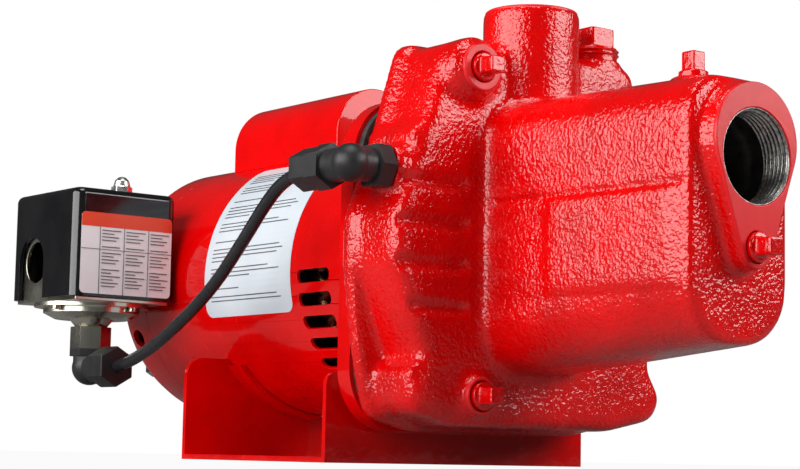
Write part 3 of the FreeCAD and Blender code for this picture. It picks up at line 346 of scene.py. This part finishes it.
def grid_mesh(name, rows, closed_rows=False, closed_columns=False):
    """A skin over rows of points, each row of the same length."""
    rows = [[tuple(point) for point in row] for row in rows]
    wide = len(rows[0])
    points = [point for row in rows for point in row]
    faces = []
    for i in range(len(rows) - (0 if closed_rows else 1)):
        for j in range(wide - (0 if closed_columns else 1)):
            below, right = (i + 1) % len(rows), (j + 1) % wide
            faces.append((i * wide + j, i * wide + right, below * wide + right, below * wide + j))
    mesh = bpy.data.meshes.new(name)
    mesh.from_pydata(points, [], faces)
    smooth(mesh)
    return linked(name, mesh)


def frame_of(at, direction):
    """A matrix at a point whose Z axis runs along a direction."""
    turn = Vector(direction).to_track_quat("Z", "Y").to_matrix().to_4x4()
    return Matrix.Translation(Vector(at)) @ turn


def lathed(name, profile, at, direction, steps=96):
    """A closed (radius, height) outline turned about a direction."""
    matrix = frame_of(at, direction)
    rows = []
    for i in range(steps):
        turn = 2 * math.pi * i / steps
        rows.append([matrix @ Vector((r * math.cos(turn), r * math.sin(turn), h))
                     for r, h in profile])
    return grid_mesh(name, rows, closed_rows=True, closed_columns=True)


def thread_sleeve(name, radius, depth, pitch, length, at, direction):
    """A cut screw thread on the wall of a bore, starting at the mouth and running inwards."""
    matrix = frame_of(at, direction)
    around, per_pitch = 96, 8
    along = int(length / pitch * per_pitch)
    rows = []
    for i in range(along + 1):
        height = -length * i / along
        row = []
        for j in range(around):
            turn = 2 * math.pi * j / around
            phase = (height / pitch - j / around) % 1.0
            ridge = 1 - abs(2 * phase - 1)
            fade = min(1.0, i / per_pitch)
            r = radius - depth * min(1.0, ridge * 1.25) * fade
            row.append(matrix @ Vector((r * math.cos(turn), r * math.sin(turn), height)))
        rows.append(row)
    piece = grid_mesh(name, rows, closed_columns=True)
    thick = piece.modifiers.new("wall", "SOLIDIFY")
    thick.thickness = 0.3 * MM
    thick.offset = 1
    return piece


def rounded_edges(piece, width, segments=3, angle=32):
    """Soft worn corners with clean shading, as live modifiers."""
    smooth(piece.data)
    weld = piece.modifiers.new("weld", "WELD")
    weld.merge_threshold = 0.00002
    bevel = piece.modifiers.new("edges", "BEVEL")
    bevel.width = width
    bevel.segments = segments
    bevel.limit_method = "ANGLE"
    bevel.angle_limit = math.radians(angle)
    bevel.use_clamp_overlap = True
    bevel.harden_normals = True
    shade = piece.modifiers.new("shade", "WEIGHTED_NORMAL")
    shade.keep_sharp = False
    shade.weight = 80


# ---------------------------------------------------------------- carried-over nodes

# Width in millimetres of the rounding on the nodes that keep their CAD shape.
EDGE_WIDTH = {
    "red_sheet": 0.7, "zinc": 0.35, "steel": 0.3, "laminations": 0.2, "copper": 0.8,
    "cast_iron": 0.5, "pump_plastic": 0.4, "seal_face": 0.2, "rubber": 0.2, "switch_shell": 0.8,
    "black_nylon": 0.6, "phenolic": 0.3, "can": 0.5, "brass": 0.3,
}


def dress_nodes():
    """Every CAD node gets its finish; the case gasket's back shows, and is painted."""
    for subpart in frame["record"]["subparts"]:
        piece, finish = nodes[subpart["node"]], subpart["material_slot"]
        dress(piece, finish)
        if finish in EDGE_WIDTH:
            rounded_edges(piece, EDGE_WIDTH[finish] * MM)
    dress(nodes["case_gasket"], "painted_gasket")


# ---------------------------------------------------------------- places

# Read from the ports, plugs and boxes that the frame carries, or set from the case's rear face.

def middle(node):
    low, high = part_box(node)
    return (low + high) / 2


def shaft_height():
    low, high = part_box("motor_shell")
    return (low.z + high.z) / 2


SHAFT_HEIGHT = shaft_height()
MOUNTS = {mount["name"]: mount for mount in frame["record"]["mounts"]}
SUCTION_HEIGHT = MOUNTS["suction_port"]["pos_m"][2]
SUCTION_RADIUS = MOUNTS["suction_port"]["dims"]["r_mm"] * MM
DISCHARGE_X = MOUNTS["discharge_port"]["pos_m"][0]
DISCHARGE_RADIUS = MOUNTS["discharge_port"]["dims"]["r_mm"] * MM
REAR_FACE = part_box("pump_case")[0].x
CASE_FRONT = REAR_FACE + 39 * MM
GAUGE_Y, GAUGE_HEIGHT = middle("gauge_plug").y, middle("gauge_plug").z
GAUGE_FACE = CASE_FRONT + 9 * MM
DRAIN_Y, DRAIN_HEIGHT = middle("drain_plug").y, middle("drain_plug").z
DRAIN_FACE = CASE_FRONT + 4.5 * MM
PANEL_LOW, PANEL_TOP = 78 * MM, 120 * MM
PANEL_STOPS = (163 * MM, 241 * MM)
RIB_GAPS = (130 * MM, 111 * MM, 92 * MM, 72 * MM)
PORT_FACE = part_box("pump_case")[1].x
CAVITY_START, CAVITY_END = 0.10, 0.24
PORT_WALL_START, PORT_POCKET_END = 0.20, 0.242
POCKET_START, POCKET_HALF = 0.21, 17 * MM
SHAFT_CAVITY_RADIUS, SHAFT_CAVITY_HALF = 30 * MM, 24 * MM
IMPELLER_CAVITY_RADIUS = 76 * MM
OUTLET_LOW = 0.17


# ---------------------------------------------------------------- the casting

VOXEL = 1.15 * MM
PLUG_VOXEL, NUT_VOXEL = 0.45 * MM, 0.22 * MM
PLUGS = ("suction_face_plug", "gauge_plug", "drain_plug", "nose_top_plug", "priming_plug")


def voxel_copy(name, source, voxel):
    """An even, closed skin over a CAD node, so that every corner can be softened alike."""
    piece = linked(name, source.data.copy())
    skin = piece.modifiers.new("skin", "REMESH")
    skin.mode = "VOXEL"
    skin.voxel_size = voxel
    depsgraph = bpy.context.evaluated_depsgraph_get()
    mesh = bpy.data.meshes.new_from_object(piece.evaluated_get(depsgraph))
    piece.modifiers.clear()
    piece.data = mesh
    return piece


def vectors(items, key):
    """A three-column array of one vector property of mesh vertices or faces."""
    values = np.empty(len(items) * 3)
    items.foreach_get(key, values)
    return values.reshape(-1, 3)


def points_of(mesh):
    return vectors(mesh.vertices, "co")


def put_points(mesh, points):
    mesh.vertices.foreach_set("co", points.astype(np.float32).ravel())
    mesh.update()


def relax(mesh, rounds, hold):
    """Average each vertex with its neighbours; hold is 1 where a vertex stays put."""
    points = points_of(mesh)
    edges = np.empty(len(mesh.edges) * 2, np.int32)
    mesh.edges.foreach_get("vertices", edges)
    first, second = edges.reshape(-1, 2).T
    count = np.bincount(edges, minlength=len(points))[:, None]
    free = 0.5 * (1 - hold)[:, None]
    for _ in range(rounds):
        total = np.empty_like(points)
        for axis in range(3):
            total[:, axis] = (
                np.bincount(first, points[second, axis], len(points))
                + np.bincount(second, points[first, axis], len(points)))
        points += (total / count - points) * free
    put_points(mesh, points)


BORE_HOLD, BORE_FADE = 1.6, 1.6 * MM


def near_bore(points, at, axis, radius):
    """1 on the wall and mouth of a round bore, 0 a few millimetres away from it."""
    offset = points - np.array(at)
    across = np.delete(offset, axis, axis=1)
    gap = np.abs(np.linalg.norm(across, axis=1) - radius)
    return np.clip(BORE_HOLD - gap / BORE_FADE, 0, 1)


def groove(value, centre, half_width):
    return np.exp(-((value - centre) / half_width) ** 2)


def window(value, low, high, soft):
    """1 between two limits, easing to 0 over the soft width."""
    return np.clip((value - low) / soft, 0, 1) * np.clip((high - value) / soft, 0, 1)


RIM_HELD = 1.5 * MM
RELAX_ROUNDS = 22
SMOOTH_BORES_FROM = 0.1
FLANK_START, FLANK_END, FLANK_HALF = 0.128, 0.246, 45 * MM
RIB_LOW, RIB_HIGH = 43 * MM, 92 * MM


def held_points(points):
    """1 where the softening must leave the casting alone: the bores' mouths and the rear rim."""
    hold = np.zeros(len(points))
    for at, axis, radius in (((0, 0, SUCTION_HEIGHT), 0, SUCTION_RADIUS),
                             ((DISCHARGE_X, 0, 0), 2, DISCHARGE_RADIUS)):
        hold = np.maximum(hold, near_bore(points, at, axis, radius))
    hold *= np.where(points[:, 0] > SMOOTH_BORES_FROM, 1, 0)
    rim = np.clip((REAR_FACE + RIM_HELD - points[:, 0]) / RIM_HELD, 0, 1)
    return np.maximum(hold, rim)


def sunk_depth(points, normals):
    """How deep each point sinks: the gaps between front ribs and the flank's panel frame."""
    x, y, z = points.T
    sink = np.zeros(len(points))
    on_front = window(x, CASE_FRONT - 5 * MM, CASE_FRONT + 2 * MM, MM)
    on_front *= np.clip(normals[:, 0] * 2 - 0.6, 0, 1)
    ribbed = on_front * window(np.abs(y), RIB_LOW, RIB_HIGH, 5 * MM)
    for height in RIB_GAPS:
        sink += 2.6 * MM * ribbed * groove(z, height, 2.8 * MM)
    beside = np.clip(np.abs(normals[:, 1]) * 2 - 0.8, 0, 1)
    beside *= window(x, FLANK_START, FLANK_END, 2 * MM)
    beside *= np.where(np.abs(y) < FLANK_HALF, 1, 0)
    sink += 0.9 * MM * beside * groove(z, PANEL_TOP + 2 * MM, 1.6 * MM)
    sink += 0.2 * MM * beside * groove(z, PANEL_LOW - 2 * MM, 1.6 * MM)
    framed = beside * window(z, PANEL_LOW, PANEL_TOP, 2 * MM)
    for start in PANEL_STOPS:
        sink += 0.15 * MM * framed * groove(x, start, 1.3 * MM)
    return sink


def bare_iron(centres):
    """Which faces are inside the casting, in its bores or behind its front wall."""
    x, y, z = centres.T
    around_shaft = np.hypot(y, z - SHAFT_HEIGHT)
    around_port = np.hypot(y, z - SUCTION_HEIGHT)
    around_outlet = np.hypot(x - DISCHARGE_X, y)
    inside = (around_shaft < SHAFT_CAVITY_RADIUS) & (x < CAVITY_END) & (x > CAVITY_START)
    inside &= np.abs(y) < SHAFT_CAVITY_HALF
    inside |= (around_port < SUCTION_RADIUS + 0.6 * MM) & (x > PORT_WALL_START)
    inside |= ((around_port < SUCTION_RADIUS + 2.4 * MM) & (x > PORT_WALL_START)
               & (x < PORT_POCKET_END))
    inside |= ((np.abs(y) < POCKET_HALF) & (x > POCKET_START) & (x < CAVITY_END)
               & (z > SHAFT_HEIGHT) & (z < SUCTION_HEIGHT))
    inside |= (around_outlet < DISCHARGE_RADIUS + 0.6 * MM) & (z > OUTLET_LOW)
    inside |= (around_shaft < IMPELLER_CAVITY_RADIUS) & (x < CASE_FRONT - 5 * MM)
    return inside


def case_casting():
    """The painted casting: softened corners, pillowed ribs on the front, a plain framed panel."""
    low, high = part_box("pump_case")
    piece = voxel_copy("case_casting", nodes["pump_case"], VOXEL)
    mesh = piece.data
    relax(mesh, RELAX_ROUNDS, held_points(points_of(mesh)))
    points, normals = points_of(mesh), vectors(mesh.vertices, "normal")
    points -= normals * sunk_depth(points, normals)[:, None]
    put_points(mesh, np.clip(points, np.array(low), np.array(high)))
    smooth(mesh)
    dress(piece, "red_cast")
    mesh.materials.append(MATERIALS["cast_iron"])
    inside = bare_iron(vectors(mesh.polygons, "center"))
    mesh.polygons.foreach_set("material_index", inside.astype(np.int32))
    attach(piece, "root")
    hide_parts("pump_case")


def machined_faces():
    """Flat machined lands round the two ports and the gauge and drain tappings."""
    teardrop_face()
    lands = [
        ("discharge_land", DISCHARGE_RADIUS, 22.6 * MM, (DISCHARGE_X, 0, cad_high.z), (0, 0, 1)),
        ("gauge_land", 7.2 * MM, 11.2 * MM, (GAUGE_FACE + 0.2 * MM, GAUGE_Y, GAUGE_HEIGHT),
         (1, 0, 0)),
        ("drain_land", 7.2 * MM, 9.0 * MM, (DRAIN_FACE + 0.2 * MM, DRAIN_Y, DRAIN_HEIGHT),
         (1, 0, 0)),
    ]
    for name, bore, outer, at, direction in lands:
        soft = 0.5 * MM
        profile = [(bore + soft, 0), (outer - soft, 0), (outer, -soft), (outer, -3 * MM),
                   (bore, -3 * MM), (bore, -soft)]
        piece = lathed(name, profile, at, direction)
        rounded_edges(piece, 0.25 * MM, 2)
        dress(piece, "red_machined")
        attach(piece, "root")


BOSS_RADIUS, BOSS_TIP_RADIUS, BOSS_HEIGHT = 26 * MM, 10 * MM, 141 * MM
TAPPING_RADIUS = 7.5 * MM


def teardrop_outline(inset):
    """Points round the suction face: a big arc above, a small one below, straight sides."""
    big, small = BOSS_RADIUS - inset, BOSS_TIP_RADIUS - inset
    high, low = BOSS_HEIGHT, SHAFT_HEIGHT
    lean = math.asin((big - small) / (high - low))
    points = []
    for radius, centre, start, end, steps in (
            (big, high, -lean, math.pi + lean, 60),
            (small, low, math.pi + lean, 2 * math.pi - lean, 24)):
        for i in range(steps + 1):
            turn = start + (end - start) * i / steps
            points.append((radius * math.cos(turn), centre + radius * math.sin(turn)))
    return points


def teardrop_face():
    """The suction boss's machined end: a plate with two holes and softly broken edges."""
    soft, half_thick = 0.45 * MM, 1.2 * MM
    loops = [teardrop_outline(0.6 * MM + soft)]
    for radius, height in ((SUCTION_RADIUS + soft, SUCTION_HEIGHT), (TAPPING_RADIUS, SHAFT_HEIGHT)):
        turns = [2 * math.pi * i / 96 for i in range(96)]
        loops.append([(radius * math.cos(t), height + radius * math.sin(t)) for t in turns])
    curve = bpy.data.curves.new("suction_land", "CURVE")
    curve.dimensions = "2D"
    curve.fill_mode = "BOTH"
    curve.extrude = half_thick - soft
    curve.bevel_depth = soft
    curve.bevel_resolution = 2
    for loop in loops:
        spline = curve.splines.new("POLY")
        spline.points.add(len(loop) - 1)
        for point, (across, height) in zip(spline.points, loop):
            point.co = (across, height, 0, 1)
        spline.use_cyclic_u = True
    flat = linked("suction_land_outline", curve)
    mesh = bpy.data.meshes.new_from_object(
        flat.evaluated_get(bpy.context.evaluated_depsgraph_get()))
    bpy.data.objects.remove(flat)
    upright = Matrix(((0, 0, 1, PORT_FACE - half_thick), (1, 0, 0, 0), (0, 1, 0, 0), (0, 0, 0, 1)))
    mesh.transform(upright)
    piece = linked("suction_land", mesh)
    dress(piece, "red_machined")
    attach(piece, "root")


THREAD_DEPTH, THREAD_PITCH = 1.25 * MM, 2.209 * MM


def port_threads():
    """Cut pipe threads showing in the mouths of the suction and discharge bores."""
    ports = [
        ("suction_thread", SUCTION_RADIUS, 14 * MM, (PORT_FACE - 0.6 * MM, 0, SUCTION_HEIGHT),
         (1, 0, 0)),
        ("discharge_thread", DISCHARGE_RADIUS, 28 * MM, (DISCHARGE_X, 0, cad_high.z - 0.6 * MM),
         (0, 0, 1)),
    ]
    for name, radius, length, at, direction in ports:
        piece = thread_sleeve(name, radius - 0.1 * MM, THREAD_DEPTH, THREAD_PITCH, length, at,
                              direction)
        dress(piece, "thread")
        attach(piece, "root")


def rounded_small_parts():
    """The painted plugs and the cover's acorn nut, with every corner softened alike."""
    parts = [(name, PLUG_VOXEL, 5, "red_plug") for name in PLUGS]
    parts.append(("cover_nut", NUT_VOXEL, 4, "bright_nut"))
    for name, voxel, rounds, finish in parts:
        body = body_of(nodes[name])[0]
        low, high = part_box(name)
        piece = voxel_copy(name + "_rounded", nodes[name], voxel)
        mesh = piece.data
        relax(mesh, rounds, np.zeros(len(mesh.vertices)))
        put_points(mesh, np.clip(points_of(mesh), np.array(low), np.array(high)))
        smooth(mesh)
        dress(piece, finish)
        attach(piece, body)
        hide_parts(name)


def priming_threads():
    """The few turns of thread left showing under the priming plug's head."""
    low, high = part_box("priming_plug")
    neck = high.z - 14.8 * MM
    root, crest, turns, pitch = 11.6 * MM, 12.9 * MM, 2, 2.1 * MM
    profile = [(root - MM, neck)]
    for i in range(turns):
        start = neck + i * pitch
        profile += [(root, start), (crest, start + 0.45 * pitch), (crest, start + 0.6 * pitch)]
    profile += [(root, neck + turns * pitch), (root - MM, neck + turns * pitch)]
    centre = (low + high) / 2
    piece = lathed("priming_threads", profile, (centre.x, centre.y, 0), (0, 0, 1))
    rounded_edges(piece, 0.2 * MM, 2)
    dress(piece, "red_plug")
    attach(piece, "priming_plug_body")


# ---------------------------------------------------------------- tube

TUBE_ROUTE = [(-0.098, -0.103, 0.048), (-0.079, -0.103, 0.051), (-0.045, -0.1034, 0.064),
              (-0.006, -0.1038, 0.084), (0.020, -0.104, 0.105), (0.041, -0.104, 0.124),
              (0.056, -0.104, 0.1335), (0.071, -0.104, 0.136)]
TUBE_WIDTH = 6.35 * MM


def sensing_tube():
    """The pressure tube, a fixed length of stiff polyethylene between its two nuts."""
    curve = bpy.data.curves.new("tube_line", "CURVE")
    curve.dimensions = "3D"
    curve.bevel_depth = TUBE_WIDTH / 2
    curve.bevel_resolution = 6
    curve.resolution_u = 16
    curve.use_fill_caps = True
    spline = curve.splines.new("NURBS")
    spline.points.add(len(TUBE_ROUTE) - 1)
    for point, place in zip(spline.points, TUBE_ROUTE):
        point.co = (*place, 1)
    spline.order_u = 3
    spline.use_endpoint_u = True
    piece = linked("pressure_tube", curve)
    curve.materials.append(MATERIALS["tube"])
    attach(piece, "root")
    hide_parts("sensing_tube")


# ---------------------------------------------------------------- labels

def rounded_rectangle(low, high, corner, steps=8):
    """Points round a rectangle whose four corners are arcs."""
    points = []
    for centre_u, centre_v, start in (
            (high[0] - corner, high[1] - corner, 0), (low[0] + corner, high[1] - corner, 90),
            (low[0] + corner, low[1] + corner, 180), (high[0] - corner, low[1] + corner, 270)):
        for i in range(steps + 1):
            turn = math.radians(start + 90 * i / steps)
            points.append((centre_u + corner * math.cos(turn), centre_v + corner * math.sin(turn)))
    return points


def printed_sheet(name, outlines, wrap, lift, material, body, cut_step=None):
    """Flat outlines (u, v) laid on a surface by wrap(u, v, lift), as one thin closed sheet."""
    sheet = bmesh.new()
    for outline in outlines:
        sheet.faces.new([sheet.verts.new((u, v, 0)) for u, v in outline])
    if cut_step:
        reach = max(abs(vert.co.y) for vert in sheet.verts)
        for i in range(-int(reach / cut_step) - 1, int(reach / cut_step) + 2):
            whole = sheet.verts[:] + sheet.edges[:] + sheet.faces[:]
            bmesh.ops.bisect_plane(sheet, geom=whole, plane_co=(0, i * cut_step, 0),
                                   plane_no=(0, 1, 0))
    bottom = bmesh.ops.extrude_face_region(sheet, geom=sheet.faces[:])["geom"]
    lifted = {item for item in bottom if isinstance(item, bmesh.types.BMVert)}
    for vert in sheet.verts:
        height = lift + (SHEET_THICK if vert in lifted else 0)
        vert.co = wrap(vert.co.x, vert.co.y, height)
    bmesh.ops.recalc_face_normals(sheet, faces=sheet.faces)
    mesh = bpy.data.meshes.new(name)
    sheet.to_mesh(mesh)
    sheet.free()
    piece = linked(name, mesh)
    dress(piece, material)
    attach(piece, body)


def bar(left, bottom, right, top):
    return [(left, bottom), (right, bottom), (right, top), (left, top)]


def line_rows(left, right, top, low, step, height, pattern):
    """Ruled lines in place of print: one bar a row, as long as the pattern says, or none."""
    outlines = []
    row = 0
    v = top
    while v > low:
        share = pattern[row % len(pattern)]
        if share:
            outlines.append(bar(left, v, left + (right - left) * share, v + height))
        row += 1
        v -= step
    return outlines


# Share of the column's width that each row of print takes up; 0 is a blank row.
MOTOR_LINES = (0.92, 0.97, 0.9, 0.35, 0, 0.8, 0.95, 0.55, 0, 0, 0.4, 0)
SWITCH_LINES = (0.95, 0.6, 0.85, 0.7, 0, 0.9, 0.5)
RULE_WIDTH = 0.3 * MM
SHEET_THICK = 0.12 * MM


def motor_label():
    """A pale sheet wrapped round the shell below the capacitor cover."""
    low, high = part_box("motor_shell")
    radius, centre = (high.y - low.y) / 2, SHAFT_HEIGHT

    def wrap(u, v, lift):
        turn = v / radius
        reach = radius + lift
        return Vector((u, -reach * math.cos(turn), centre + reach * math.sin(turn)))

    left, right = low.x + 62.5 * MM, low.x + 141.5 * MM
    bottom, top = -20.9 * MM, 74 * MM
    sheet = rounded_rectangle((left, bottom), (right, top), 5 * MM)
    printed_sheet("motor_label", [sheet], wrap, 0.15 * MM, "motor_label", "root",
                  3 * MM)
    rows = line_rows(left + 6 * MM, right - 7 * MM, top - 9 * MM, bottom + 8 * MM, 2.1 * MM,
                     0.55 * MM, MOTOR_LINES)
    printed_sheet("motor_label_rules", rows, wrap, 0.28 * MM, "label_ink", "root")


def switch_label():
    """A plain two-tone sheet on the cover's side with ruled columns and no wording."""
    low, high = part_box("switch_cover")
    face = high.x

    def wrap(u, v, lift):
        return Vector((face + lift, u, v))

    left, right = low.y + 3.4 * MM, high.y - 3.6 * MM
    bottom, top = low.z + 1.4 * MM, low.z + 44.4 * MM
    header = top - 7.5 * MM
    outline = rounded_rectangle((left, bottom), (right, top), 2.5 * MM)
    printed_sheet("switch_label", [outline], wrap, 0.03 * MM, "switch_label",
                  "cover")
    band = [point for point in outline if point[1] > header]
    band = band + [(left, header), (right, header)]
    printed_sheet("switch_label_band", [band], wrap, 0.16 * MM, "label_header",
                  "cover")
    columns = [left + (right - left) * share for share in (0.2, 0.465, 0.735)]
    rules = [bar(u, bottom, u + RULE_WIDTH, header) for u in columns]
    middle_line = bottom + 0.66 * (header - bottom)
    rules.append(bar(left, middle_line, right, middle_line + RULE_WIDTH))
    blocks = ((header - 2 * MM, middle_line + MM), (middle_line - 2 * MM, bottom + 3 * MM))
    for start, end in zip(columns, columns[1:] + [right]):
        for upper, lower in blocks:
            rules += line_rows(start + 1.4 * MM, end - 1.2 * MM, upper, lower, 1.75 * MM, 0.5 * MM,
                               SWITCH_LINES)
    printed_sheet("switch_label_rules", rules, wrap, 0.29 * MM, "label_ink",
                  "cover")


# ---------------------------------------------------------------- coils and windings

def coil(name, radius, wire, turns, at, direction, length, material, body, node):
    """A wound spring with closed end turns, standing for its plain CAD ring."""
    matrix = frame_of(at, direction)
    around, section = 28, 8
    rows = []
    steps = int(turns * around)
    for i in range(steps + 1):
        turn = 2 * math.pi * i / around
        share = i / steps
        height = wire / 2 + (length - wire) * (share * share * (3 - 2 * share))
        row = []
        for j in range(section):
            roll = 2 * math.pi * j / section
            r = radius - wire / 2 + wire / 2 * math.cos(roll)
            row.append(matrix @ Vector((r * math.cos(turn), r * math.sin(turn),
                                        height + wire / 2 * math.sin(roll))))
        rows.append(row)
    piece = grid_mesh(name, rows, closed_columns=True)
    dress(piece, material)
    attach(piece, body)
    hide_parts(node)


def range_spring():
    """The switch's main spring, standing on the flange round the centre stud."""
    low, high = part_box("range_spring")
    centre = middle("range_spring")
    coil("range_spring_coil", (high.x - low.x) / 2, 2.2 * MM, 6.5, (centre.x, centre.y, low.z),
         (0, 0, 1), high.z - low.z, "steel", "root", "range_spring")


def winding_bundles():
    """End turns of the stator: looped coils of wire laced into a ring."""
    for node in ("winding_front", "winding_rear"):
        low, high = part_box(node)
        centre = (low + high) / 2
        length, outer = high.x - low.x, (high.y - low.y) / 2
        around, section = 288, 24
        rows = []
        for i in range(around):
            turn = 2 * math.pi * i / around
            lobe = 0.55 + 0.45 * abs(math.sin(turn * 12))
            row = []
            for j in range(section):
                roll = 2 * math.pi * j / section
                strand = 1 + 0.03 * math.sin(roll * 9 + turn * 24)
                r = outer - 7.0 * MM + 6.6 * MM * math.cos(roll) * strand
                x = centre.x + (length / 2 - 0.4 * MM) * math.sin(roll) * lobe * strand
                row.append((x, r * math.cos(turn), centre.z + r * math.sin(turn)))
            rows.append(row)
        piece = grid_mesh(node + "_bundle", rows, closed_rows=True, closed_columns=True)
        dress(piece, "copper")
        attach(piece, "root")
        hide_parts(node)


# ---------------------------------------------------------------- set, lights, camera

FLOOR_REACH, FLOOR_GAP = 1.6, 0.0004
FLOOR_SEEN = (0.96, 0.96, 0.96, 1)
ROOM_STRENGTH, BACKDROP_STRENGTH = 0.05, 1.0
WHITE = (1.0, 1.0, 1.0, 1)


def floor():
    """A pale disc: near white to the camera, mid-grey paper to reflections and bounced light."""
    mesh = bpy.data.meshes.new("floor")
    sides = 96
    turns = [2 * math.pi * i / sides for i in range(sides)]
    ring = [(FLOOR_REACH * math.cos(t), FLOOR_REACH * math.sin(t), 0) for t in turns]
    mesh.from_pydata(ring, [], [tuple(range(sides))])
    disc = linked("floor", mesh)
    disc.location.z = cad_low.z - FLOOR_GAP
    paper = Surface("floor_paper", specular=0.0)
    paper.colour(0.8, (0.28, 0.28, 0.28), (0.32, 0.32, 0.32)).gloss(0.5, 0.8, 0.9)
    glow = paper.node("ShaderNodeEmission")
    glow.inputs["Color"].default_value = FLOOR_SEEN
    seen = paper.node("ShaderNodeLightPath")
    blend = paper.node("ShaderNodeMixShader")
    paper.link(seen.outputs["Is Camera Ray"], blend.inputs["Fac"])
    paper.link(paper.shader.outputs["BSDF"], blend.inputs[1])
    paper.link(glow.outputs["Emission"], blend.inputs[2])
    paper.link(blend.outputs["Shader"], paper.tree.nodes["Material Output"].inputs["Surface"])
    mesh.materials.append(paper.material)


def room():
    """A dim room that reflections see, and a white backdrop that only the camera sees."""
    world = bpy.data.worlds.new("studio")
    world.use_nodes = True
    tree = world.node_tree
    dim = tree.nodes["Background"]
    dim.inputs["Color"].default_value = WHITE
    dim.inputs["Strength"].default_value = ROOM_STRENGTH
    backdrop = tree.nodes.new("ShaderNodeBackground")
    backdrop.inputs["Color"].default_value = WHITE
    backdrop.inputs["Strength"].default_value = BACKDROP_STRENGTH
    path = tree.nodes.new("ShaderNodeLightPath")
    mix = tree.nodes.new("ShaderNodeMixShader")
    tree.links.new(path.outputs["Is Camera Ray"], mix.inputs["Fac"])
    tree.links.new(dim.outputs["Background"], mix.inputs[1])
    tree.links.new(backdrop.outputs["Background"], mix.inputs[2])
    tree.links.new(mix.outputs["Shader"], tree.nodes["World Output"].inputs["Surface"])
    bpy.context.scene.world = world
    bpy.context.scene.view_settings.view_transform = "Standard"


LIT_X = 0.1


def softbox(name, bearing, away, low, high, wide, power):
    """An upright sheet of light facing the case, from a bearing in degrees and its two heights."""
    light = bpy.data.lights.new(name, "AREA")
    light.shape = "RECTANGLE"
    light.size, light.size_y = wide, high - low
    light.energy = power
    lamp = bpy.data.objects.new(name, light)
    bpy.context.scene.collection.objects.link(lamp)
    turn = math.radians(bearing)
    outward = Vector((math.cos(turn), math.sin(turn), 0))
    lamp.location = Vector((LIT_X, 0, (low + high) / 2)) + outward * away
    lamp.rotation_mode = "QUATERNION"
    lamp.rotation_quaternion = (-outward).to_track_quat("-Z", "Y")
    return lamp


def lights():
    """Two upright sheets, left and right of the nose, and a small one overhead facing down."""
    softbox("left_sheet", bearing=-95, away=1.3, low=0.10, high=1.0, wide=1.7, power=25)
    softbox("right_sheet", bearing=35, away=1.3, low=0.34, high=1.1, wide=1.18, power=17)
    top = softbox("top_sheet", bearing=-60, away=0.25, low=0.9, high=1.4, wide=0.5, power=5)
    top.rotation_quaternion = Vector((0, 0, -1)).to_track_quat("-Z", "Y")


CAMERA_PLACE = (0.82998, -0.63735, 0.00449)
CAMERA_YAW, CAMERA_PITCH, CAMERA_ROLL = 37.925, 6.298, 1.150
CAMERA_LENS = 89.73


def camera():
    """Low and close to the suction end, looking slightly up."""
    yaw, pitch, roll = (math.radians(a) for a in (CAMERA_YAW, CAMERA_PITCH, CAMERA_ROLL))
    ahead = Vector((-math.cos(yaw) * math.cos(pitch), math.sin(yaw) * math.cos(pitch),
                    math.sin(pitch)))
    level = Vector((math.sin(yaw), math.cos(yaw), 0))
    above = level.cross(ahead)
    right = math.cos(roll) * level + math.sin(roll) * above
    up = -math.sin(roll) * level + math.cos(roll) * above
    data = bpy.data.cameras.new("view")
    data.lens = CAMERA_LENS
    data.sensor_width = 36
    data.clip_start, data.clip_end = 0.02, 50
    seen = bpy.data.objects.new("view", data)
    bpy.context.scene.collection.objects.link(seen)
    turn = Matrix((right, up, -ahead)).transposed().to_4x4()
    seen.matrix_world = Matrix.Translation(Vector(CAMERA_PLACE)) @ turn
    bpy.context.scene.camera = seen


dress_nodes()
case_casting()
machined_faces()
port_threads()
rounded_small_parts()
priming_threads()
sensing_tube()
motor_label()
switch_label()
range_spring()
winding_bundles()
floor()
room()
lights()
camera()
